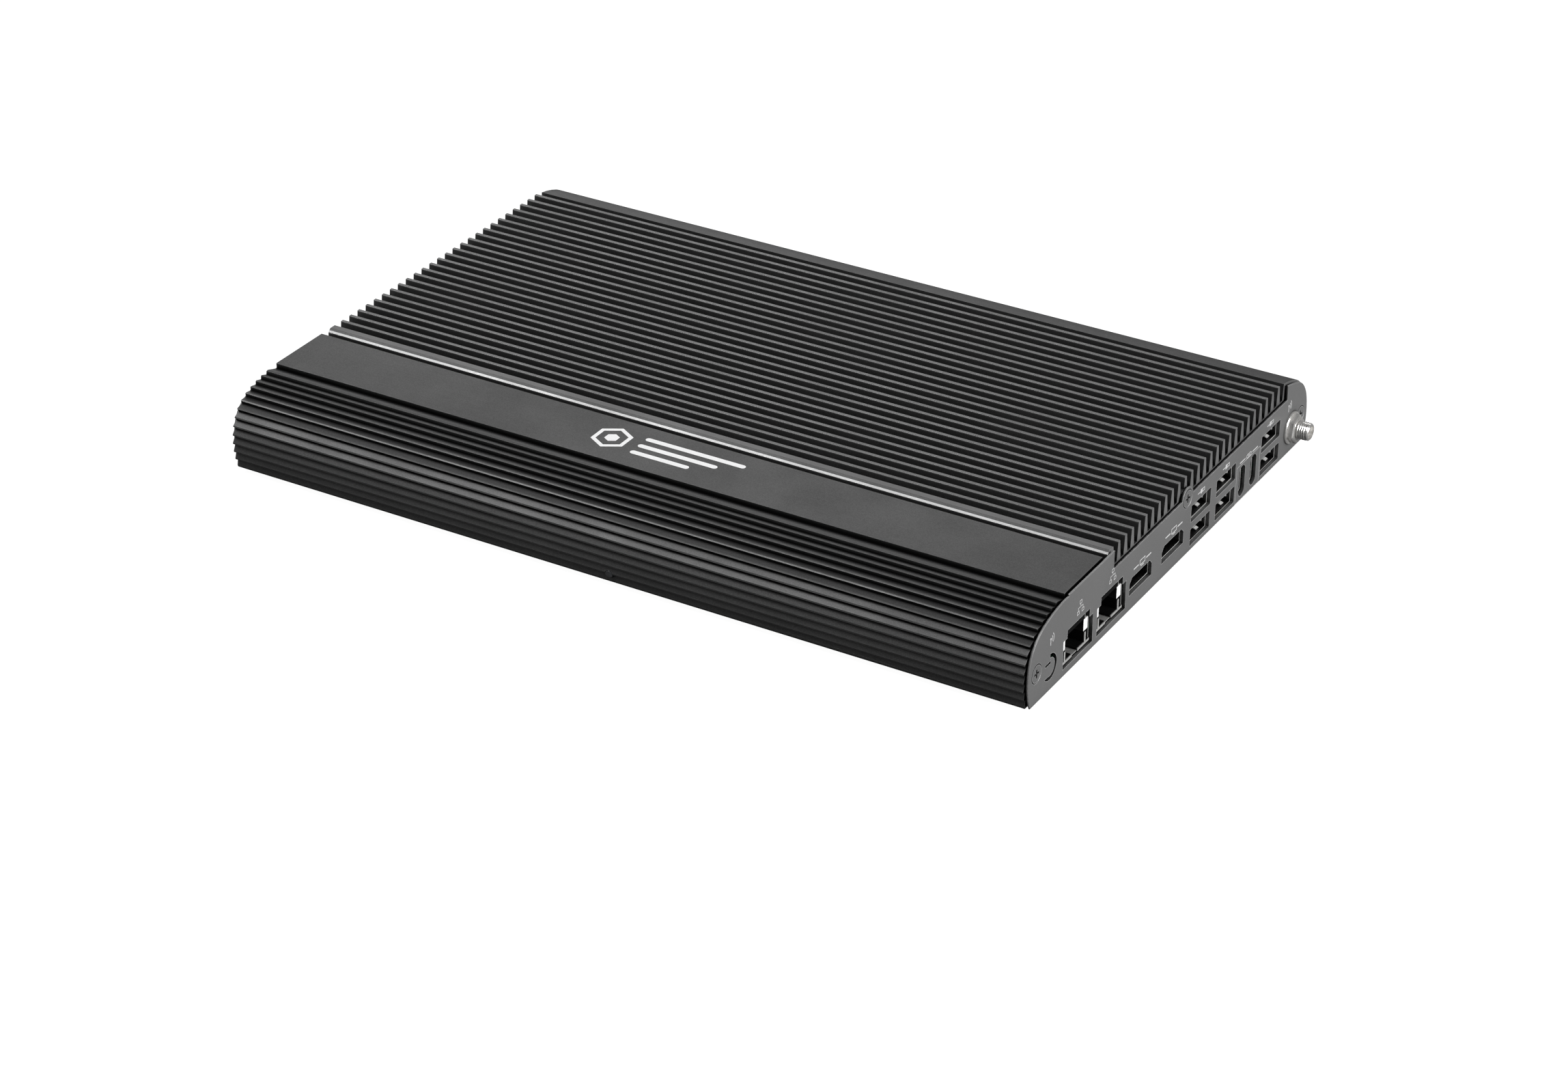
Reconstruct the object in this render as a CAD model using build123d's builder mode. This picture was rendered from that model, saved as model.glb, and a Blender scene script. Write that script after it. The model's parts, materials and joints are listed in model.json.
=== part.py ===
"""Fanless mini PC: a finned aluminium case with its boards, connectors and power button.

Millimetres. +X runs along the fins to the port panel with the antenna socket, -Y is the
ribbed front, +Z is up. The origin is under the middle of the object, on the table.
"""

import os

from build123d import *

os.makedirs("parts", exist_ok=True)

# ---- driving dimensions ----------------------------------------------------------------

PITCH = 4.3  # fin to fin, the unit that the case is drawn to
FIN_COUNT = 26
CASE_LENGTH = 268.3  # the extrusion, along X
FOOT_HEIGHT = 2.0
CASE_HEIGHT = 25.5
TOP = FOOT_HEIGHT + CASE_HEIGHT
BASE_Z = FOOT_HEIGHT

FIN_TIP = 1.15
FIN_ROOT = 2.4
FIN_DEPTH = 6.06
FIRST_FIN_Y = -36.1
FIN_ZONE_FRONT = FIRST_FIN_Y - PITCH
FIN_ZONE_BACK = FIRST_FIN_Y + FIN_COUNT * PITCH
VALLEY_Z = TOP - FIN_DEPTH

BAND_FRONT = -69.1
BAND_BACK = -46.0
RIDGE_FRONT = -42.7
RIDGE_CHAMFER = 1.0

NOSE_START = 70.0  # |Y| where the case starts to curve down
NOSE_TOP = TOP - 0.25
NOSE_RADII = (38.1, 12.6, 23.0)
NOSE_SWEEPS = (21.9, 54.6, 41.5)  # degrees

RIB_COUNT = 14
RIB_PITCH = 2.785
RIB_FIRST = 4.06  # along the nose, to the first crest
RIB_DEPTH = 1.05
RIB_CREST = 0.4
BAND_DROP = 1.75  # from the band down to the foot of the first rib

WALL_INSIDE = 84.6  # |Y| of the inner walls
CEILING = 18.5
COVER_THICKNESS = 1.2
COVER_HALF = 89.0
COVER_TOP = BASE_Z + COVER_THICKNESS

GASKET = 0.3
PANEL = 1.0
PANEL_INSET = 0.45
LEFT_INSET = 2.2
SEAL_INSET = 0.6  # the seal's edge inside the panel's edge
PANEL_UNDERCUT = 0.6
ANTENNA_REACH = 6.6
BUTTON_REACH = 0.8

M3_TAP = 1.25
M3_CORE = 1.2
M3_PASS = 1.7
M3_HEAD = 2.7
SCREW_DEPTH = 10.0
SIDE_SCREW_Y = 87.0
SIDE_SCREW_Z = 11.6
MID_SCREW_Y = 6.8
MID_SCREW_Z = 20.9
MID_BOSS = 2.9
TAB_RADIUS = 3.7

# X of the case's middle, so that socket and button leave the whole object centred
CASE_X = (BUTTON_REACH - ANTENNA_REACH) / 2
RIGHT_END = CASE_X + CASE_LENGTH / 2
LEFT_END = CASE_X - CASE_LENGTH / 2
RIGHT_SEAT = RIGHT_END + GASKET
LEFT_SEAT = LEFT_END - GASKET
RIGHT_FACE = RIGHT_SEAT + PANEL
LEFT_FACE = LEFT_SEAT - PANEL

SCREW_SPOTS = [(-SIDE_SCREW_Y, SIDE_SCREW_Z), (MID_SCREW_Y, MID_SCREW_Z), (SIDE_SCREW_Y, SIDE_SCREW_Z)]

# ---- ports on the right-hand panel: middle of each one along Y -------------------------

RJ45_PLACES = {"front": -62.1, "rear": -41.5}
HDMI_PLACES = {"front": -23.0, "rear": -2.15}
USB_A_PLACES = {"front": 16.35, "middle": 33.5, "rear": 65.05}
USB_C_PLACES = {"front": 45.15, "rear": 53.05}
ANTENNA_Y, ANTENNA_Z = 80.3, 10.3
KNOCKOUT_Y, KNOCKOUT_Z = -79.1, 9.6

RJ45_WIDTH, RJ45_HEIGHT, RJ45_Z = 18.05, 11.7, 10.15
RJ45_SHOULDER = 2.6
HDMI_WIDTH, HDMI_HEIGHT, HDMI_Z = 14.4, 5.4, 9.75
HDMI_CHAMFER = 1.6
USB_A_WIDTH, USB_A_HEIGHT = 13.3, 5.6
USB_A_LOW_Z, USB_A_HIGH_Z = 6.35, 14.2
USB_C_LENGTH, USB_C_WIDTH, USB_C_Z = 10.2, 4.3, 8.6
ANTENNA_HOLE, ANTENNA_THREAD, ANTENNA_NECK, ANTENNA_BORE = 2.85, 2.7, 2.4, 2.0

# ---- boards -----------------------------------------------------------------------------

BOARD_BOTTOM = 6.4
BOARD_THICKNESS = 1.6
BOARD_TOP = BOARD_BOTTOM + BOARD_THICKNESS
BOARD_HALF_Y = 74.0
BOARD_RIGHT = RIGHT_END - 1.0
BOARD_LENGTH = 168.0
BOARD_LEFT = BOARD_RIGHT - BOARD_LENGTH
CONNECTOR_FRONT = RIGHT_SEAT - 0.2
STUD_DEPTH = 2.3  # blind threaded holes up into the case's ceiling

SOC_X, SOC_Y = BOARD_LEFT + 88.0, -8.0
STANDOFF_SPOTS = [(x, y) for x in (BOARD_LEFT + 6.0, BOARD_RIGHT - 30.0) for y in (-68.0, 68.0)]
MEMORY_PLACES = (-35.5, 35.5)
DRIVE_X, DRIVE_Y = -86.0, 20.0
DRIVE_SIZE = (69.85, 100.2, 7.0)
DRIVE_BOTTOM = 10.2
DRIVE_SCREWS = (61.7, 76.6)
TRAY = 0.8
TRAY_EAR = 7.0
TRAY_HALF = DRIVE_SIZE[1] / 2 + 0.3
TRAY_FIXINGS = (30.0, 2 * TRAY_HALF + TRAY_EAR + TRAY)
BLOCK_SCREWS = (50.0, 38.0)

# ---- left-hand panel --------------------------------------------------------------------

BUTTON_Y, BUTTON_Z = -72.0, 11.0
BUTTON_RADIUS = 4.7
BUTTON_CLEARANCE = 0.3
RING_RADIUS = 6.2
BUTTON_FLANGE = 5.6
AUDIO_Y, AUDIO_Z = -58.5, 11.0
DC_Y, DC_Z = -45.5, 11.0
LOCK_Y, LOCK_Z = 78.0, 11.0
LEFT_BOARD_FRONT = -82.0
LEFT_BOARD_BACK = -37.0
LEFT_BOARD_DEPTH = 23.0
LEFT_BOARD_START = LEFT_END + 1.5
LEFT_STANDOFF_SPOTS = [(LEFT_BOARD_START + 19.0, y) for y in (-78.0, -41.0)]
CORNERS = [(x, y) for x in (-0.5, 0.5) for y in (-0.5, 0.5)]
CEILING_SPOTS = [
    *STANDOFF_SPOTS,
    *LEFT_STANDOFF_SPOTS,
    *[(SOC_X + x * BLOCK_SCREWS[0], SOC_Y + y * BLOCK_SCREWS[1]) for x, y in CORNERS],
    *[(DRIVE_X + x * TRAY_FIXINGS[0], DRIVE_Y + y * TRAY_FIXINGS[1]) for x, y in CORNERS],
]
AUDIO_NOSE = 3.0
DC_NOSE = 4.0

# ---- bottom cover, feet and front light -------------------------------------------------

COVER_SCREW_X, COVER_SCREW_Y = 78.0, 86.3
M25_TAP, M25_CORE, M25_PASS, M25_HEAD = 1.05, 1.0, 1.35, 2.2
VESA_SPACINGS = (75.0, 100.0)
INSERT_SHANK, INSERT_HEAD, INSERT_TOP, M4_TAP = 2.8, 4.2, 6.0, 1.65
FOOT_SPACING_X, FOOT_SPACING_Y, FOOT_RADIUS = 224.0, 146.0, 7.0
LED_Z, LED_RADIUS, LED_REACH = 4.9, 1.3, 7.3

LEFT_OUTWARDS = Plane(origin=(LEFT_FACE, 0, 0), x_dir=(0, -1, 0), z_dir=(-1, 0, 0))

# ---- shared outlines --------------------------------------------------------------------

with BuildLine() as nose:
    start, heading = (-NOSE_START, NOSE_TOP), (-1, 0)
    for radius, sweep_angle in zip(NOSE_RADII, NOSE_SWEEPS):
        arc = JernArc(start=start, tangent=heading, radius=radius, arc_size=sweep_angle)
        start, heading = arc @ 1, arc % 1
nose_path = nose.wire()


def on_nose(along, inward):
    """Point of the front curve at an arc length, moved into the case by some depth."""
    point = nose_path.position_at(along, position_mode=PositionMode.LENGTH)
    tangent = nose_path.tangent_at(along, position_mode=PositionMode.LENGTH)
    return (point.X - tangent.Y * inward, point.Y + tangent.X * inward)


def case_face(plane, inset):
    """Solid end outline of the case, drawn in by an inset everywhere but at the base."""
    with BuildSketch(plane) as outline:
        with BuildLine():
            add(nose.line)
            mirror(about=Plane.YZ)
            Line((-NOSE_START, NOSE_TOP), (NOSE_START, NOSE_TOP))
            Line(nose_path @ 1, (-(nose_path @ 1).X, (nose_path @ 1).Y))
        make_face()
        if inset:
            offset(amount=-inset)
        with Locations((0, BASE_Z)):
            Rectangle(2 * CASE_LENGTH, TOP, align=(Align.CENTER, Align.MAX), mode=Mode.SUBTRACT)
    return outline.sketch


def panel_face(plane, inset, drop):
    """End panel outline: the case outline without the fins, with a tab for the middle screw."""
    with BuildSketch(plane) as outline:
        add(case_face(Plane.XY, inset))
        with Locations(((BAND_FRONT + FIN_ZONE_FRONT) / 2, CEILING)):
            band = FIN_ZONE_FRONT - BAND_FRONT - 2 * inset
            Rectangle(band, TOP - drop - CEILING, align=(Align.CENTER, Align.MIN))
        with Locations(((FIN_ZONE_FRONT + FIN_ZONE_BACK) / 2, VALLEY_Z - inset + PANEL_INSET)):
            fins = FIN_ZONE_BACK - FIN_ZONE_FRONT + 2 * inset
            Rectangle(fins, TOP, align=(Align.CENTER, Align.MIN), mode=Mode.SUBTRACT)
        with Locations((MID_SCREW_Y, MID_SCREW_Z)):
            Circle(TAB_RADIUS - inset + PANEL_INSET)
    return outline.sketch


def machine_screw(head, core, length, slot):
    """Countersunk screw along +Z with the face of its head at Z = 0."""
    with BuildPart() as screw:
        with BuildSketch(Plane.XZ):
            with BuildLine():
                Polyline((0, 0), (head, 0), (core, core - head), (core, -length), (0, -length), close=True)
            make_face()
        revolve(axis=Axis.Z)
        with BuildSketch(Plane.XY):
            Rectangle(1.05 * head, slot)
            Rectangle(slot, 1.05 * head)
        extrude(amount=-0.35 * head, mode=Mode.SUBTRACT)
    return screw.part


def pan_screw(head, thickness, core, length, slot):
    """Flat-headed screw along +Z, its head from Z = -thickness to 0 under the seat at Z = 0."""
    with BuildPart() as screw:
        with BuildSketch(Plane.XY.offset(-thickness)):
            Circle(head)
        extrude(amount=thickness)
        fillet(screw.edges().sort_by(Axis.Z)[0], 0.4)
        with BuildSketch(Plane.XY):
            Circle(core)
        extrude(amount=length)
        with BuildSketch(Plane.XY.offset(-thickness)):
            Rectangle(1.05 * head, slot)
            Rectangle(slot, 1.05 * head)
        extrude(amount=0.7 * thickness, mode=Mode.SUBTRACT)
    return screw.part


def hdmi_face(width, height, corner):
    """Video port outline with its two top corners cut off."""
    with BuildSketch() as outline:
        Rectangle(width, height)
        chamfer(outline.vertices().group_by(Axis.Y)[-1], corner)
    return outline.sketch


def rj45_face(width, height):
    """Network port outline: full height in the middle, lower over the two lights."""
    with BuildSketch() as outline:
        with Locations((0, -RJ45_SHOULDER / 2)):
            Rectangle(width, height - RJ45_SHOULDER)
        Rectangle(width - 4.5, height)
    return outline.sketch


def knockout_slots():
    """Slots round a knock-out disc: a long crescent and a pry slit."""
    with BuildSketch() as slots:
        Circle(4.1)
        Circle(2.9, mode=Mode.SUBTRACT)
        with Locations((-3.0, 1.0)):
            Rectangle(6.0, 7.4, mode=Mode.SUBTRACT)
        with Locations((-1.2, 1.4)):
            Rectangle(3.2, 0.75)
    return slots.sketch


def end_gasket(inset):
    """Sealing ring between the extrusion and an end panel."""
    with BuildSketch() as ring:
        add(panel_face(Plane.XY, inset, inset))
        with Locations((0, BASE_Z)):
            Rectangle(2 * WALL_INSIDE, CEILING - BASE_Z, align=(Align.CENTER, Align.MIN), mode=Mode.SUBTRACT)
        with Locations(*SCREW_SPOTS):
            Circle(M3_PASS, mode=Mode.SUBTRACT)
    return ring.sketch


def block(x, y, z, length, width, height):
    """Box between x and x + length, centred on y, standing on z."""
    with Locations((x, y, z)):
        Box(length, width, height, align=(Align.MIN, Align.CENTER, Align.MIN))


# ---- case -------------------------------------------------------------------------------

with BuildPart() as housing:
    with BuildSketch(Plane.YZ.offset(LEFT_END)) as section:
        add(case_face(Plane.XY, 0))
        with Locations(((BAND_FRONT + FIN_ZONE_BACK) / 2 - 1.2, CEILING)):
            Rectangle(FIN_ZONE_BACK - BAND_FRONT - 2.4, TOP - CEILING, align=(Align.CENTER, Align.MIN))
        # the step between the flat band and the first rib
        with BuildLine():
            Polyline(
                (BAND_FRONT, TOP + 1),
                (BAND_FRONT, TOP - BAND_DROP),
                (BAND_FRONT - 4.15, TOP - 0.4),
                (BAND_FRONT - 4.15, TOP + 1),
                close=True,
            )
        make_face(mode=Mode.SUBTRACT)
        # saw-toothed ribs: each cut drops straight behind a crest and rises to the next
        for rib in range(RIB_COUNT - 1):
            crest = RIB_FIRST + rib * RIB_PITCH
            with BuildLine():
                Polyline(
                    on_nose(crest, 0),
                    on_nose(crest + 0.35, RIB_DEPTH),
                    on_nose(crest + RIB_PITCH - RIB_CREST, 0),
                    on_nose(crest + RIB_PITCH / 2, -0.6),
                    close=True,
                )
            make_face(mode=Mode.SUBTRACT)
        # valleys between the fins, and the wider groove in front of the ridge
        for valley in range(FIN_COUNT + 1):
            middle = FIRST_FIN_Y + valley * PITCH - (PITCH - FIN_TIP) / 2
            top_half, floor_half = (PITCH - FIN_TIP) / 2, (PITCH - FIN_ROOT) / 2
            with BuildLine():
                Polyline(
                    (middle - top_half, TOP),
                    (middle - floor_half, VALLEY_Z),
                    (middle + floor_half, VALLEY_Z),
                    (middle + top_half, TOP),
                    (middle + top_half, TOP + 1),
                    (middle - top_half, TOP + 1),
                    close=True,
                )
            make_face(mode=Mode.SUBTRACT)
        with BuildLine():
            Polyline(
                (BAND_BACK, TOP + 1),
                (BAND_BACK, TOP),
                (BAND_BACK + 0.5, VALLEY_Z),
                (RIDGE_FRONT - 0.5, VALLEY_Z),
                (RIDGE_FRONT, TOP - RIDGE_CHAMFER),
                (RIDGE_FRONT + RIDGE_CHAMFER, TOP),
                (RIDGE_FRONT + RIDGE_CHAMFER, TOP + 1),
                close=True,
            )
        make_face(mode=Mode.SUBTRACT)
        fillet(section.vertices().filter_by_position(Axis.Y, TOP - 0.01, TOP + 0.01), 0.22)
        with Locations((MID_SCREW_Y, MID_SCREW_Z)):
            Circle(MID_BOSS)
        # room inside, and the rebate for the bottom cover
        room = 2 * WALL_INSIDE
        rebate = 2 * COVER_HALF + 0.3
        with Locations((0, BASE_Z)):
            Rectangle(room, CEILING - BASE_Z, align=(Align.CENTER, Align.MIN), mode=Mode.SUBTRACT)
            Rectangle(rebate, COVER_THICKNESS, align=(Align.CENTER, Align.MIN), mode=Mode.SUBTRACT)
    extrude(amount=CASE_LENGTH)
    for end in (Plane.YZ.offset(RIGHT_END), Plane.YZ.offset(LEFT_END)):
        inwards = -SCREW_DEPTH if end.origin.X > 0 else SCREW_DEPTH
        with BuildSketch(end):
            with Locations(*SCREW_SPOTS):
                Circle(M3_TAP)
        extrude(amount=inwards, mode=Mode.SUBTRACT)
        with BuildSketch(end):
            with Locations(*SCREW_SPOTS):
                Circle(M3_PASS)
        extrude(amount=inwards * 0.04, mode=Mode.SUBTRACT)
    with Locations(Plane.XY.offset(COVER_TOP).rotated((180, 0, 0))):
        with Locations((CASE_X, 0)):
            with GridLocations(COVER_SCREW_X, 2 * COVER_SCREW_Y, 4, 2):
                Hole(M25_TAP, depth=6.5)
    with Locations(Plane.XY.offset(CEILING).rotated((180, 0, 0))):
        with Locations(*[(x, -y) for x, y in CEILING_SPOTS]):
            Hole(M3_TAP, depth=STUD_DEPTH)
    with Locations(Plane(origin=(CASE_X, -NOSE_START - 25, LED_Z), z_dir=(0, -1, 0))):
        Hole(LED_RADIUS, depth=25)
housing.part.label = "housing"
export_step(housing.part, "parts/housing.step")

with BuildPart() as bottom_cover:
    with BuildSketch(Plane.XY.offset(BASE_Z)):
        with Locations((CASE_X, 0)):
            RectangleRounded(CASE_LENGTH, 2 * COVER_HALF, 1.0)
    extrude(amount=COVER_THICKNESS)
    with Locations(Plane.XY.offset(BASE_Z).rotated((180, 0, 0))):
        with Locations((CASE_X, 0)):
            with GridLocations(COVER_SCREW_X, 2 * COVER_SCREW_Y, 4, 2):
                CounterSinkHole(M25_PASS, M25_HEAD, counter_sink_angle=90)
            for spacing in VESA_SPACINGS:
                with GridLocations(spacing, spacing, 2, 2):
                    Hole(INSERT_SHANK)
bottom_cover.part.label = "bottom_cover"
export_step(bottom_cover.part, "parts/bottom_cover.step")

with BuildPart() as cover_screws:
    with Locations(Plane.XY.offset(BASE_Z).rotated((180, 0, 0))):
        with Locations((CASE_X, 0)):
            with GridLocations(COVER_SCREW_X, 2 * COVER_SCREW_Y, 4, 2):
                add(machine_screw(M25_HEAD - 0.05, M25_CORE, 7.0, 0.6))
cover_screws.part.label = "cover_screws"
export_step(cover_screws.part, "parts/cover_screws.step")

with BuildPart() as vesa_inserts:
    for spacing in VESA_SPACINGS:
        with BuildSketch(Plane.XY.offset(BASE_Z)):
            with Locations((CASE_X, 0)):
                with GridLocations(spacing, spacing, 2, 2):
                    Circle(INSERT_SHANK)
                    Circle(M4_TAP, mode=Mode.SUBTRACT)
        extrude(amount=COVER_THICKNESS)
        with BuildSketch(Plane.XY.offset(COVER_TOP)):
            with Locations((CASE_X, 0)):
                with GridLocations(spacing, spacing, 2, 2):
                    RegularPolygon(INSERT_HEAD, 6)
                    Circle(M4_TAP, mode=Mode.SUBTRACT)
        extrude(amount=INSERT_TOP - COVER_TOP)
vesa_inserts.part.label = "vesa_inserts"
export_step(vesa_inserts.part, "parts/vesa_inserts.step")

with BuildPart() as rubber_feet:
    with BuildSketch(Plane.XY):
        with Locations((CASE_X, 0)):
            with GridLocations(FOOT_SPACING_X, FOOT_SPACING_Y, 2, 2):
                Circle(FOOT_RADIUS)
    extrude(amount=FOOT_HEIGHT)
    fillet(rubber_feet.edges().group_by(Axis.Z)[0], 0.6)
rubber_feet.part.label = "rubber_feet"
export_step(rubber_feet.part, "parts/rubber_feet.step")

with BuildPart() as status_led:
    with Locations(Plane(origin=(CASE_X, -WALL_INSIDE, LED_Z), z_dir=(0, -1, 0))):
        Cylinder(LED_RADIUS - 0.05, LED_REACH, align=(Align.CENTER, Align.CENTER, Align.MIN))
        Cylinder(LED_RADIUS + 0.3, 1.5, align=(Align.CENTER, Align.CENTER, Align.MAX))
    fillet(status_led.edges().group_by(Axis.Y)[0], 0.5)
status_led.part.label = "status_led"
export_step(status_led.part, "parts/status_led.step")

# ---- end panels and what fastens them ---------------------------------------------------

with BuildPart() as end_gaskets:
    for end_x, panel_inset in ((RIGHT_END, PANEL_INSET + SEAL_INSET), (LEFT_SEAT, LEFT_INSET)):
        with BuildSketch(Plane.YZ.offset(end_x)):
            add(end_gasket(panel_inset + SEAL_INSET))
        extrude(amount=GASKET)
end_gaskets.part.label = "end_gaskets"
export_step(end_gaskets.part, "parts/end_gaskets.step")

with BuildPart() as right_panel:
    with BuildSketch(Plane.YZ.offset(RIGHT_SEAT)):
        add(panel_face(Plane.XY, PANEL_INSET, 0.2))
    extrude(amount=PANEL)
    chamfer(right_panel.faces().sort_by(Axis.X)[0].outer_wire().edges(), PANEL_UNDERCUT)
    fillet(right_panel.faces().sort_by(Axis.X)[-1].outer_wire().edges(), 0.2)
    with BuildSketch(Plane.YZ.offset(RIGHT_SEAT)):
        for y in RJ45_PLACES.values():
            with Locations((y, RJ45_Z)):
                add(rj45_face(RJ45_WIDTH, RJ45_HEIGHT))
        for y in HDMI_PLACES.values():
            with Locations((y, HDMI_Z)):
                add(hdmi_face(HDMI_WIDTH, HDMI_HEIGHT, HDMI_CHAMFER))
        for y in USB_A_PLACES.values():
            with Locations((y, USB_A_LOW_Z), (y, USB_A_HIGH_Z)):
                RectangleRounded(USB_A_WIDTH, USB_A_HEIGHT, 0.4)
        for y in USB_C_PLACES.values():
            with Locations((y, USB_C_Z)):
                SlotOverall(USB_C_LENGTH, USB_C_WIDTH, rotation=90)
        with Locations((ANTENNA_Y, ANTENNA_Z)):
            Circle(ANTENNA_HOLE)
        # antenna knock-out: a disc held by its bridges, with a pry slit
        with Locations((KNOCKOUT_Y, KNOCKOUT_Z)):
            add(knockout_slots())
    extrude(amount=PANEL, mode=Mode.SUBTRACT)
    with Locations(Plane.YZ.offset(RIGHT_FACE)):
        with Locations(*SCREW_SPOTS):
            CounterSinkHole(M3_PASS, M3_HEAD + 0.35, counter_sink_angle=90)
right_panel.part.label = "right_panel"
export_step(right_panel.part, "parts/right_panel.step")

with BuildPart() as left_panel:
    with BuildSketch(Plane.YZ.offset(LEFT_FACE)):
        add(panel_face(Plane.XY, LEFT_INSET, LEFT_INSET))
        with Locations((MID_SCREW_Y, MID_SCREW_Z)):
            Circle(TAB_RADIUS)
    extrude(amount=PANEL)
    chamfer(left_panel.faces().sort_by(Axis.X)[-1].outer_wire().edges(), PANEL_UNDERCUT)
    fillet(left_panel.faces().sort_by(Axis.X)[0].outer_wire().edges(), 0.2)
    with BuildSketch(Plane.YZ.offset(LEFT_FACE)):
        with Locations((BUTTON_Y, BUTTON_Z)):
            Circle(RING_RADIUS)
        with Locations((AUDIO_Y, AUDIO_Z)):
            Circle(AUDIO_NOSE + 0.15)
        with Locations((DC_Y, DC_Z)):
            Circle(DC_NOSE + 0.15)
        with Locations((LOCK_Y, LOCK_Z)):
            SlotOverall(7.0, 3.0)
        with Locations((-KNOCKOUT_Y - 20, KNOCKOUT_Z)):
            add(knockout_slots())
    extrude(amount=PANEL, mode=Mode.SUBTRACT)
    with Locations(LEFT_OUTWARDS):
        with Locations(*[(-y, z) for y, z in SCREW_SPOTS]):
            CounterSinkHole(M3_PASS, M3_HEAD + 0.1, counter_sink_angle=90)
left_panel.part.label = "left_panel"
export_step(left_panel.part, "parts/left_panel.step")

with BuildPart() as panel_screws:
    for outwards, side in ((Plane.YZ.offset(RIGHT_FACE), 1), (LEFT_OUTWARDS, -1)):
        with Locations(outwards):
            with Locations(*[(side * y, z) for y, z in SCREW_SPOTS]):
                add(machine_screw(M3_HEAD, M3_CORE, SCREW_DEPTH, 0.8))
panel_screws.part.label = "panel_screws"
export_step(panel_screws.part, "parts/panel_screws.step")

# ---- antenna socket ---------------------------------------------------------------------

ANTENNA_TIP = RIGHT_FACE + ANTENNA_REACH
ANTENNA_WASHER = 0.7
ANTENNA_NUT = 1.9

with BuildPart() as antenna_socket:
    with BuildSketch(Plane.YZ.offset(RIGHT_SEAT - 9.0)):
        with Locations((ANTENNA_Y, ANTENNA_Z)):
            Circle(2.4)
    extrude(amount=7.0)
    with BuildSketch(Plane.YZ.offset(RIGHT_SEAT - 2.0)):
        with Locations((ANTENNA_Y, ANTENNA_Z)):
            RegularPolygon(4.0, 6, major_radius=False, rotation=30)
    extrude(amount=2.0)
    with BuildSketch(Plane.YZ.offset(RIGHT_SEAT)):
        with Locations((ANTENNA_Y, ANTENNA_Z)):
            Circle(ANTENNA_THREAD)
    extrude(amount=PANEL + ANTENNA_REACH)
    chamfer(antenna_socket.edges().filter_by(GeomType.CIRCLE).sort_by(Axis.X)[-1], 0.3)
    with BuildSketch(Plane.YZ.offset(ANTENNA_TIP)):
        with Locations((ANTENNA_Y, ANTENNA_Z)):
            Circle(ANTENNA_BORE)
    extrude(amount=-ANTENNA_REACH, mode=Mode.SUBTRACT)
    # relief groove where the free thread starts, half inside the nut
    with BuildSketch(Plane.YZ.offset(RIGHT_FACE + ANTENNA_WASHER + ANTENNA_NUT - 0.5)):
        with Locations((ANTENNA_Y, ANTENNA_Z)):
            Circle(ANTENNA_THREAD + 0.1)
            Circle(ANTENNA_NECK, mode=Mode.SUBTRACT)
    extrude(amount=0.6, mode=Mode.SUBTRACT)
antenna_socket.part.label = "antenna_socket"
export_step(antenna_socket.part, "parts/antenna_socket.step")

with BuildPart() as antenna_insulator:
    with BuildSketch(Plane.YZ.offset(RIGHT_FACE)):
        with Locations((ANTENNA_Y, ANTENNA_Z)):
            Circle(ANTENNA_BORE)
            Circle(0.65, mode=Mode.SUBTRACT)
    extrude(amount=ANTENNA_REACH - 2.0)
antenna_insulator.part.label = "antenna_insulator"
export_step(antenna_insulator.part, "parts/antenna_insulator.step")

with BuildPart() as antenna_contact:
    with BuildSketch(Plane.YZ.offset(RIGHT_FACE)):
        with Locations((ANTENNA_Y, ANTENNA_Z)):
            Circle(0.65)
    extrude(amount=ANTENNA_REACH - 2.0)
    with Locations(Plane.YZ.offset(ANTENNA_TIP - 2.0)):
        with Locations((ANTENNA_Y, ANTENNA_Z)):
            Hole(0.4, depth=3.0)
antenna_contact.part.label = "antenna_contact"
export_step(antenna_contact.part, "parts/antenna_contact.step")

with BuildPart() as antenna_washer:
    with BuildSketch(Plane.YZ.offset(RIGHT_FACE)):
        with Locations((ANTENNA_Y, ANTENNA_Z)):
            Circle(5.2)
            Circle(ANTENNA_THREAD + 0.02, mode=Mode.SUBTRACT)
    extrude(amount=ANTENNA_WASHER)
    chamfer(antenna_washer.faces().sort_by(Axis.X)[-1].outer_wire().edges(), 0.2)
antenna_washer.part.label = "antenna_washer"
export_step(antenna_washer.part, "parts/antenna_washer.step")

with BuildPart() as antenna_nut:
    with BuildSketch(Plane.YZ.offset(RIGHT_FACE + ANTENNA_WASHER)):
        with Locations((ANTENNA_Y, ANTENNA_Z)):
            RegularPolygon(4.0, 6, major_radius=False, rotation=15)
            Circle(ANTENNA_THREAD + 0.02, mode=Mode.SUBTRACT)
    extrude(amount=ANTENNA_NUT)
    chamfer(antenna_nut.faces().sort_by(Axis.X)[-1].outer_wire().edges(), 0.35)
antenna_nut.part.label = "antenna_nut"
export_step(antenna_nut.part, "parts/antenna_nut.step")

# ---- ports ------------------------------------------------------------------------------

RJ45_DEPTH, HDMI_DEPTH, USB_A_DEPTH, USB_C_DEPTH = 21.0, 11.5, 17.5, 8.5
RJ45_FRONT = RIGHT_SEAT + 0.1
RJ45_FACE = RJ45_FRONT - 0.3  # plastic insert, behind the shield's front lips
RJ45_BODY = (17.0, 10.6)
RJ45_SHELL = (17.5, 11.1)
RJ45_BASE = RJ45_Z - RJ45_BODY[1] / 2
RJ45_LOW = RJ45_Z - RJ45_SHELL[1] / 2
MOUTH_WIDTH, MOUTH_BOTTOM, MOUTH_TOP, MOUTH_DEPTH = 11.4, RJ45_BASE + 0.6, RJ45_BASE + 8.0, 13.0
LATCH_WIDTH = 3.5
LIGHT_SIZE = (2.5, 3.8)
LIGHT_OFFSET, LIGHT_Z = 6.85, 10.75
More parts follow.
